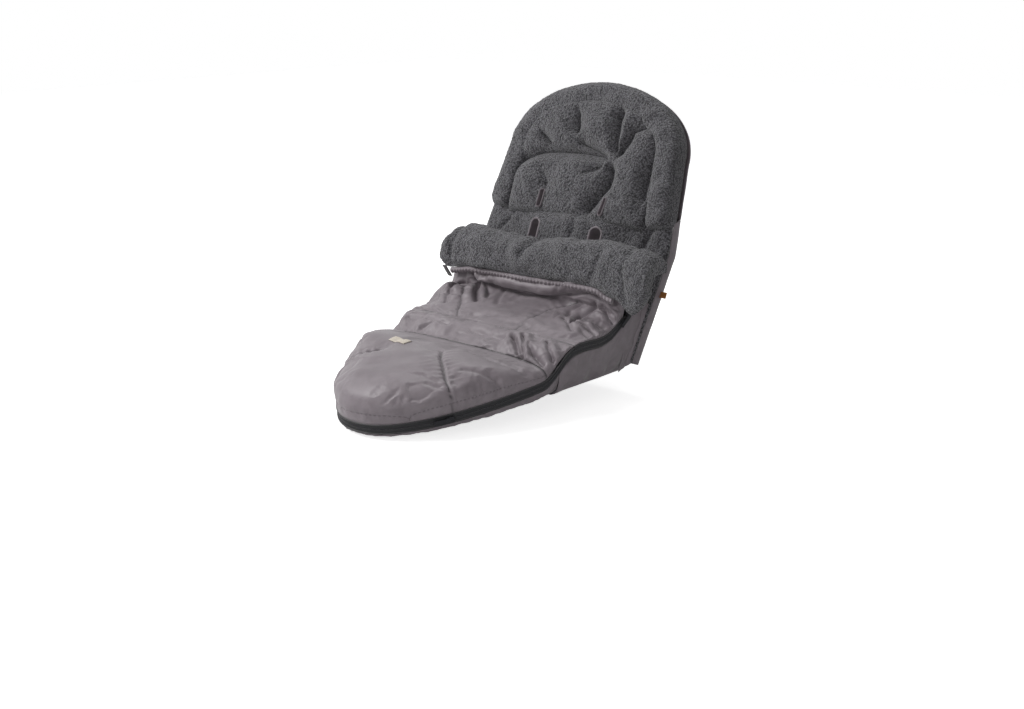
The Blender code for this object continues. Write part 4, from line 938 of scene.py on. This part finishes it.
# The tab is a short loop of grey ribbon sewn in at the cuff's left end.
ribbon = textured(material("woven_grey_ribbon", "#4A4749", 0.7), "TexWave", None, None, 0.3, 0.0003,
                  Scale=500.0, Distortion=0.4, bands_direction="Z")
tab = dress(thin_copy("cuff_tab_ribbon", "cuff_tab", 2), ribbon, "cuff_tab", "cuff")

# Back pad, drafted flat: x across, s up the back from the fold line, n out of its front.
# Satin behind, turned forward round the sides as a gusset; wadding; pile in front, in two pieces and a rim.
# It leans back 22 degrees. Its round top starts at the height HEAD, where it is twice HEAD_HALF wide, and
# rises by CROWN. The pile's underside lies at PILE_FOOT.
BACK_COS, BACK_SIN = math.cos(math.radians(22.0)), math.sin(math.radians(22.0))
HEAD, HEAD_HALF, CROWN, PILE_FOOT = 0.404, 0.208, 0.137, 0.0206


def on_back(x, s, n):
    """From the back's flat draft to the row."""
    return np.stack([x + 0.0 * s, 0.125 + s * BACK_SIN - n * BACK_COS, s * BACK_COS + n * BACK_SIN], -1)


def back_half(s):
    """Half of the back's width at a height."""
    return np.interp(s, [0.0, 0.225, HEAD], [0.207, 0.23, HEAD_HALF])


def arch(share, low, half, rise):
    """Outline as x + i s, from the low right corner (0) over the crown (0.5) to the low left (1). Its sides start
    at the height low and stand half(s) from the middle; over HEAD it rises as a quarter of an ellipse."""
    turn = 0.34
    side = np.where(share <= 0.5, 1.0, -1.0)
    climb = 2.0 * np.minimum(share, 1.0 - share)
    s = mixed(low, HEAD, climb / turn)
    angle = np.maximum(climb - turn, 0.0) / (1.0 - turn) * math.pi / 2
    return np.where(climb < turn, side * half(s) + 1j * s,
                    side * half(HEAD) * np.cos(angle) + 1j * (HEAD + rise * np.sin(angle)))


def swept(name, rings, closed=False):
    """A closed piece from a run of closed rings of places. Its two ends are capped, or joined if closed."""
    n, k = rings.shape[:2]
    index = np.arange(n * k).reshape(n, k)
    if closed:
        index = np.concatenate([index, index[:1]])
    after = np.roll(index, -1, axis=1)
    quads = np.stack([index[:-1], after[:-1], after[1:], index[1:]], -1).reshape(-1, 4).tolist()
    return solid(name, rings, quads + ([] if closed else [index[0, ::-1].tolist(), index[-1].tolist()]))


# the harness slots of the right side: their name, x, s, width and height
SLOTS = (("waist_slot", 0.076, 0.222, 0.026, 0.056), ("shoulder_slit", 0.078, 0.291, 0.0112, 0.038),
         ("lap_slot", 0.12, 0.052, 0.012, 0.045))


def slot_ring(x, s, width, height, count=48):
    """Outline of a slot with round ends, as x and s."""
    angle = 2 * math.pi * (np.arange(count) + 0.5) / count
    return (x + width / 2 * np.cos(angle),
            s + width / 2 * np.sin(angle) + np.copysign((height - width) / 2, np.sin(angle)))


def slotted(piece, names):
    """Cut the harness slots of these names through a piece of the back, on both sides."""
    for side, (x, s, width, height) in ((side, slot[1:]) for slot in SLOTS if slot[0] in names for side in (1, -1)):
        ring = slot_ring(side * x, s, width - 0.0002, height - 0.0002)
        cutter = swept("slot_cutter", np.stack([on_back(*ring, n) for n in (-0.02, 0.03, 0.09)]))
        cut = piece.modifiers.new("slot", "BOOLEAN")
        cut.operation, cut.solver, cut.object = "DIFFERENCE", "FAST", cutter
        baked(piece)
        bpy.data.objects.remove(cutter)
    return piece


u, v = grid(150, 150)
rise = (v + 1) / 2
s_place = np.where(rise < 0.5, mixed(0.0115, HEAD, rise / 0.5),
                   HEAD + (CROWN - 0.0005) * np.sin(np.maximum(rise - 0.5, 0.0) * math.pi))
half = np.where(rise < 0.5, back_half(s_place),
                HEAD_HALF * np.sqrt(np.maximum(1e-4, 1 - ((s_place - HEAD) / CROWN) ** 2)))
turn = np.clip((np.abs(u) - 0.86) / 0.14, 0.0, 1.0) * eased(0.3, 0.282, s_place)
x = half * np.sign(u) * np.where(s_place < 0.3, np.minimum(1.0, np.abs(u) / 0.86), np.abs(u))
quilt = 0.0006 * (1.0 + ripple(on_back(x, s_place, 0 * x), 0.06, 91)) * (1 - turn)
outer = on_back(x + np.sign(u) * 0.0016 * np.sin(math.pi * turn), s_place, 0.0205 * turn - 0.0012 - quilt)
inner = on_back(x - np.sign(u) * 0.0015 * eased(0.0, 0.1, turn), s_place, 0.0203 * turn - 0.0004)
back = dress(slotted(sewn("back_satin", outer, inner), ("waist_slot", "shoulder_slit", "lap_slot")), satin,
             "back_shell", "back")
fill = dress(thin_copy("back_fill", "back_wadding", 0), wadding, "back_wadding", "back")
places = read(fill)[0]
# the wadding stops 10 mm short of the back's lower end, where satin and pile are sewn together, and it is
# a little narrower than they are below the hood
along = (places[:, 1] - 0.125) * BACK_SIN + places[:, 2] * BACK_COS
places += (on_back(0.0, 0.01, 0.0) - on_back(0.0, 0.0, 0.0)) * np.clip(1.0 - along / 0.05, 0.0, 1.0)[:, None]
places[:, 0] *= 1.0 - 0.014 * (places[:, 2] < 0.27)
write(fill, places)


def waist_level(x, s):
    """Height of the waist pile: a full cushion, soft at its sides above the side walls."""
    share = np.minimum(1.0, np.abs(x) / (back_half(s) - 0.051))
    cushion = 0.004 + 0.031 * (1.0 - share ** 2) ** 1.5 * (1.0 - eased(0.252, 0.292, s))
    side = np.maximum(back_half(s) - np.abs(x), 0.0)
    edge = 0.009 * (1.0 - np.exp(-side / 0.009)) * eased(0.289, 0.266, s)
    return PILE_FOOT + cushion + eased(0.15, 0.19, s) * edge


WAIST_FOLDS = (
    (((160, 195), (178, 230), (186, 270)), 6, 11),
    (((-150, 266), (-168, 238), (-190, 215)), 4.5, 10),
    (((20, 276), (24, 235), (18, 200)), 3, 10))

u, v = grid(230, 170)
s_place = mixed(0.0115, 0.29, (v + 1) / 2)
x = back_half(s_place) * 0.998 * u
free = eased(0.0, 0.014, back_half(s_place) - np.abs(x)) * eased(0.15, 0.19, s_place)
level = waist_level(x, s_place) + free * (folds(x, s_place, WAIST_FOLDS)
                                          + 0.0022 * ripple(on_back(x, s_place, 0 * x), 0.05, 92))
level += curls(on_back(x, s_place, level)) * np.minimum(1.0, 0.2 + free)
waist = dress(slotted(sewn("waist_pile", on_back(x, s_place, level), on_back(x, s_place, PILE_FOOT)),
                      ("waist_slot", "lap_slot")), pile, "waist_lining", "back")

# Head piece: pile pressed into puffs by deep folds; each puff is a pillow that rises steeply from its folds.
# A fold has its line in millimetres, its depth as a share of the pile's height and its width. Its profile is a
# quarter circle, and it fades out at its two ends. A mound has its middle, its reach and its height.
HEAD_FOLDS = (
    (((-190, 345), (-150, 372), (-112, 387), (-80, 391), (-22, 394), (32, 392), (64, 383)), 0.8, 30),
    (((-34, 418), (-10, 409), (30, 397), (60, 384)), 0.92, 28),
    (((-47, 486), (-40, 447), (-33, 418)), 0.75, 26),
    (((-131, 432), (-110, 412), (-85, 394)), 0.85, 26),
    (((66, 496), (57, 465), (62, 429), (70, 387)), 0.8, 26),
    (((165, 462), (122, 457), (99, 447), (87, 415), (74, 384)), 0.85, 26),
    (((66, 383), (71, 353), (68, 332), (50, 305), (38, 285), (36, 262)), 0.92, 30),
    (((60, 380), (30, 362), (8, 350)), 0.45, 26),
    (((-75, 300), (-80, 330), (-100, 352)), 0.4, 30),
    (((163, 452), (158, 405), (155, 363), (158, 300)), 0.75, 26))
HEAD_MOUNDS = mm(((-125, 325, 70, 10), (112, 370, 55, 8), (12, 450, 45, 8), (-20, 330, 60, 6), (110, 300, 50, 5),
                  (-90, 440, 40, 4)))


def head_edge(share):
    """Outline of the head piece: it tucks under the rim's inner edge at the sides and the crown."""
    return arch(share, 0.258, lambda s: 0.172, 0.099)


def head_level(x, s, border):
    """Height of the head piece: its crown and mounds, less the deepest fold at each place."""
    deepest = 0.0
    for line, depth, width in HEAD_FOLDS:
        line, width = mm(line), mm(width)
        far, run = off_line(x, s, line)
        long = sum(math.hypot(b[0] - a[0], b[1] - a[1]) for a, b in zip(line, line[1:]))
        taper = 0.25 + 0.75 * eased(0.0, 0.022, run) * eased(0.0, 0.022, long - run)
        near = 1.0 - np.clip(far / width, 0.0, 1.0)
        deepest = np.maximum(deepest, depth * taper * (1.0 - np.sqrt(1.0 - near ** 2)) ** 0.75)
    crown = 0.034 + sum(gain * (1.0 - eased(0.0, reach, np.hypot(x - px, s - ps)))
                        for px, ps, reach, gain in HEAD_MOUNDS)
    # its lower edge laps over the waist pile
    level = PILE_FOOT + 0.004 + crown * (1.0 - deepest) * border + 0.004 * eased(0.3, 0.262, s)
    return level + 0.0016 * ripple(on_back(x, s, 0 * x), 0.035, 95) * border


u, v = grid(260, 230)
flat = patch(head_edge, (1.0, 0.67), (0.0, 0.33), u, v)
x, s_place = flat.real, flat.imag
border = np.maximum(0.0, (1.0 - np.abs(u) ** 14) * (1.0 - np.abs(v) ** 14)) ** 0.5
level = head_level(x, s_place, border)
level = level + curls(on_back(x, s_place, level))
under = on_back(x, s_place, PILE_FOOT + 0.006 * eased(0.3, 0.268, s_place))
head = dress(slotted(sewn("head_pile", on_back(x, s_place, level), under), ("shoulder_slit",)), pile,
             "head_lining", "back")

# Rim: a wide soft roll of pile round the crown. Its section is a superellipse with a flat underside, drawn
# round a middle line that runs RIM_INSET inside the back's outline.
RIM_INSET = 0.027


def rim_line(t):
    """The rim's middle line as x + i s, from its right end to its left one."""
    return arch(t, 0.266, lambda s: back_half(s) - RIM_INSET, CROWN - RIM_INSET)


def tube(n, k):
    """Two arrays of the share along a swept piece and the angle round it, n by k."""
    return np.meshgrid(np.linspace(0, 1, n), np.linspace(0, 2 * math.pi, k, endpoint=False), indexing="ij")


t, angle = tube(420, 48)
middle = rim_line(t)
ahead = rim_line(np.clip(t + 0.01, 0, 1)) - rim_line(np.clip(t - 0.01, 0, 1))
outward = -1j * ahead / np.abs(ahead)
ends = np.sqrt(np.clip(1.0 - (1.0 - np.minimum(t, 1.0 - t) / 0.024).clip(0, 1) ** 2, 0.03, 1.0))
flat = middle + outward * 0.0275 * powered(np.cos(angle), 0.8) * mixed(0.8, 1.0, ends)
up = np.sin(angle)
up = np.where(up > 0, 0.03 * np.abs(up) ** 0.72 * ends, -0.022 * np.abs(up) ** 0.5)
spot = np.stack([flat.real, flat.imag, up], -1)
soft = 0.0025 * ripple(spot, 0.06, 98) + 0.0012 * ripple(spot, 0.028, 99)
rim_level = 0.024
rings = on_back(flat.real, flat.imag, rim_level + up + soft * (up > 0) * np.abs(np.sin(angle)))
core = on_back(middle.real, middle.imag, rim_level)
away = (rings - core) / np.maximum(np.linalg.norm(rings - core, axis=-1, keepdims=True), 1e-6)
rim = dress(swept("hood_rim_pile", rings + away * (curls(rings) * (up > -0.002))[..., None]), pile, "hood_rim",
            "back")

# Slot bindings: satin cut on the bias, wrapped through the slot from the back and rolled over the pile.
# Each is a ring of small cross-sections set square to the slot's outline; the crotch slot's lies flat.
# The section is given by (metres out of the outline, share of the height) points.
ROLLED = ((-0.0016, 0.0), (-0.0017, 0.4), (-0.0016, 0.95), (-0.0011, 1.04), (0.0002, 1.08), (0.0016, 1.05),
          (0.002, 1.0), (0.0014, 0.96), (0.0002, 0.9), (0.0, 0.4), (0.0, 0.0))


def bound(word, body, ring, foot, top, placed, size=1.0):
    """A rolled binding round a slot outline (x, s), from the level foot up to the level top along it. It is
    gathered a little where it shows, and its roll stands 1.6 mm over the top."""
    ring = ring[0] + 1j * ring[1]
    step = np.roll(ring, -1) - np.roll(ring, 1)
    away = -1j * step / np.abs(step)
    gather = 0.00025 * np.sin(np.arange(len(ring)) * 0.9)
    rings = []
    for out, share in ROLLED:
        spot = ring + away * (size * out + gather * (share > 0.9))
        over = 0.0016 * max(share - 1.0, 0) / 0.08
        rings.append(placed(spot.real, spot.imag, mixed(foot, top, min(share, 1.0)) + over))
    piece = dress(swept(word + "_bias", np.stack(rings, 1), closed=True), satin, word + "_binding", body)


for name, x, s, width, height in SLOTS:
    for word, side in (("right", 1), ("left", -1)):
        ring = slot_ring(side * x, s, width - 0.0008, height - 0.0008, 96)
        top = head_level(*ring, 1.0) if name == "shoulder_slit" else waist_level(*ring)
        # the narrow slots have a finer roll that stands lower
        over, size = (0.0002, 0.6) if width < 0.02 else (0.0008, 1.2)
        bound(word + "_" + name, "back", ring, -0.0019, top + over, on_back, size)
along, across = slot_ring(0.02, 0.0, 0.012 - 0.0008, 0.05 - 0.0008, 96)
bound("crotch_slot", "seat", (across, along), 0.0003, 0.0211,
      lambda x, y, z: np.stack([x, y, z + 0.0 * x], -1))

# The side tag: a folded strip of tan leatherette, sewn in at the back's right edge.
leatherette = textured(material("embossed_tan_leatherette", "#A8703C", 0.5, Specular_IOR_Level=0.4), "TexNoise",
                       "#98622F", "#B67D48", 0.3, 0.0003, Scale=900.0, Detail=3.0)
tag = dress(thin_copy("side_tag_strip", "side_tag", 3), leatherette, "side_tag", "back")

# Gussets: a pleated strip of satin between each side wall and the back, which opens when the back reclines.
# Its front edge follows the seat and its rear edge the back.
for word, side in (("right", 1.0), ("left", -1.0)):
    u, v = grid(90, 40)
    share = (v + 1) / 2
    s_place = mixed(mixed(-0.012, 0.012, share), 0.128, (u + 1) / 2)
    pleat = 0.0006 * np.sin(share * math.pi * 6.0) * np.sin(math.pi * share)
    x = side * (mixed(0.2034, back_half(np.maximum(s_place, 0.0)) - 0.001, eased(0.5, 1.0, share)) + pleat)
    n = mixed(0.05, 0.0195, share)
    gusset = sewn(word + "_gusset_satin", on_back(x, s_place, n), on_back(x - side * 0.0005, s_place, n))
    gusset.data.materials.append(satin)
    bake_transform(gusset)

# Zips: woven black tapes with a rounded outer face, a satin-covered piping where each meets its panel, and
# a coil of nylon beads down the middle. Paths are the same curves as the panels' edges.
tape_cloth = textured(material("woven_polyester_zip_tape", "#1B1B1D", 0.62, Specular_IOR_Level=0.35), "TexNoise",
                      "#131315", "#29292C", 0.35, 0.0004, Scale=520.0, Detail=3.0)
nylon = material("extruded_nylon_coil", "#2E2E31", 0.38, Specular_IOR_Level=0.5)[0]
piping_cloth = material("satin_covered_piping", "#232224", 0.42, Specular_IOR_Level=0.45)[0]


def side_zip(side):
    """The path of a side zip: a function of the share along it, the rise over its coil, the depth inside the
    outline, and its two ends in metres."""
    def placed(t, rise, depth, front, rear):
        y = mixed(front, rear, t)
        return np.stack([side * (SEAT_HALF - depth) + 0.0 * y, y, seat_zip(y) + rise], -1)
    return placed


def knee_side(side):
    """The path of the zip beside the knee strip, with ends as shares of the strip."""
    def placed(t, rise, depth, front, rear):
        y, z = knee_zip(mixed(front, rear, t))
        run = np.clip(FOLD - y, 0.0, FOOT_LONG)
        half = toe_outline(np.sqrt(1.0 - (run / FOOT_LONG) ** 1.2), 0.0).real
        return np.stack([side * (half - depth), y, z + rise], -1)
    return placed


def toe_zip(t, rise, depth, front, rear):
    """The path of the zip round the toe, with ends from -1 at the left to 1 at the right."""
    q = np.sin(mixed(front, rear, t) * math.pi / 2)
    edge, deep = toe_outline(q, 0.0), toe_outline(q, depth)
    return in_row(deep.real, np.maximum(deep.imag, 0.0), foot_zip(edge.imag) + rise)


def lane(placed, rise, depth, front, rear, pitch):
    """Even steps along a zip at this rise and depth: places, the unit ways ahead, up and out, and the length."""
    t = np.linspace(0, 1, 400)
    run = np.linalg.norm(np.diff(placed(t, rise, depth, front, rear), axis=0), axis=1)
    run = np.concatenate([[0.0], np.cumsum(run)])
    t = np.interp(np.arange(pitch / 2, run[-1], pitch), run, t)
    here = placed(t, rise, depth, front, rear)
    ahead = placed(t + 1e-3, rise, depth, front, rear) - here
    out = here - placed(t, rise, depth + 1e-3, front, rear)
    ahead, out = (w / np.linalg.norm(w, axis=1, keepdims=True) for w in (ahead, out))
    return here, ahead, np.cross(out, ahead), out, run[-1]


def zip_tape(node, body, placed, low, high, front, rear):
    """One tape: a swept section with a rounded outer face, its coil of beads and the piping it is sewn to."""
    outer, inner = (high, low) if abs(high) > abs(low) else (low, high)
    here, ahead, above, out, long = lane(placed, inner, 0.0004, front, rear, 0.0021)
    t, angle = tube(int(long / 0.003), 16)
    rise = mixed(low, high, 0.5 + 0.5 * powered(np.cos(angle), 0.6))
    depth = 0.0013 - 0.0013 * powered(np.sin(angle), 0.6)
    tape = dress(swept(node + "_woven", placed(t, rise, depth, front, rear)), tape_cloth, node)
    rise = outer - math.copysign(0.0008, outer) + 0.0016 * np.cos(angle[:, ::2])
    piping = swept(node + "_piping", placed(t[:, ::2], rise, 0.0004 - 0.0016 * np.sin(angle[:, ::2]), front, rear))
    piping.data.materials.append(piping_cloth)
    lon, lat = np.meshgrid(np.arange(8) * math.pi / 4, np.array([-0.9, 0.0, 0.9]), indexing="ij")
    ball = np.stack([np.cos(lon) * np.cos(lat), np.sin(lon) * np.cos(lat), np.sin(lat)], -1).reshape(-1, 3)
    # half of a bead's length along the zip, up it and out of it
    size = (0.0008, 0.0012, 0.0009)
    beads = here[:, None] + sum(ball[None, :, k:k + 1] * size[k] * way[:, None]
                                for k, way in enumerate((ahead, above, out)))
    around = np.arange(8)
    sides = [[a * 3 + b, (a + 1) % 8 * 3 + b, (a + 1) % 8 * 3 + b + 1, a * 3 + b + 1]
             for a in around for b in (0, 1)]
    caps = [(around[::-1] * 3).tolist(), (around * 3 + 2).tolist()]
    faces = [[i + 24 * number for i in face] for number in range(len(here)) for face in sides + caps]
    mesh = bpy.data.meshes.new(node + "_coil")
    mesh.from_pydata(beads.reshape(-1, 3), [], faces)
    mesh.shade_smooth()
    mesh.materials.append(nylon)
    coil = linked(node + "_coil", mesh)
    for piece in (tape, piping, coil):
        if body in ("seat", "foot"):
            bends(piece)
        else:
            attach(piece, body)


# where the lower tape of a side zip ends: the back leans 0.404 back for each metre up, and meets it 130 mm up
REAR_END = 0.0979 + 0.404 * 0.13
for word, side in (("right", 1), ("left", -1)):
    zip_tape(word + "_lower_zip_tape", "seat", side_zip(side), -0.008, -0.0006, FOLD + 0.0003, REAR_END)
    zip_tape(word + "_upper_zip_tape", "apron", side_zip(side), 0.0006, 0.009, -0.0595, 0.084)
    zip_tape(word + "_knee_zip_tape", "foot", knee_side(side), 0.0006, 0.0077, 0.008, 0.992)
zip_tape("toe_lower_zip_tape", "foot", toe_zip, -0.008, -0.0006, -1.0, 1.0)
reach = math.asin(COVER_END) * 2 / math.pi
zip_tape("toe_upper_zip_tape", "foot_cover", toe_zip, 0.0006, 0.009, -reach, reach)

# Sliders and pulls: die-cast zinc with a black satin plating, rubbed a little smoother in places.
# Their CAD shapes stay, and only the finish is set.
plated, tree, shader = material("black_plated_zinc", "#2B2B2E", 0.34, Metallic=0.85)
worn = add(tree, "TexNoise", [("Vector", add(tree, "TexCoord").outputs["Object"])], Scale=260.0, Detail=3.0)
rough = add(tree, "MapRange", [("Value", worn.outputs["Fac"])],
            From_Min=0.3, From_Max=0.7, To_Min=0.26, To_Max=0.44)
tree.links.new(rough.outputs[0], shader.inputs["Roughness"])
for word in ("right", "left", "toe"):
    for kind in ("slider", "pull"):
        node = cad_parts[word + "_" + kind]
        for place in node.material_slots:
            place.material = plated
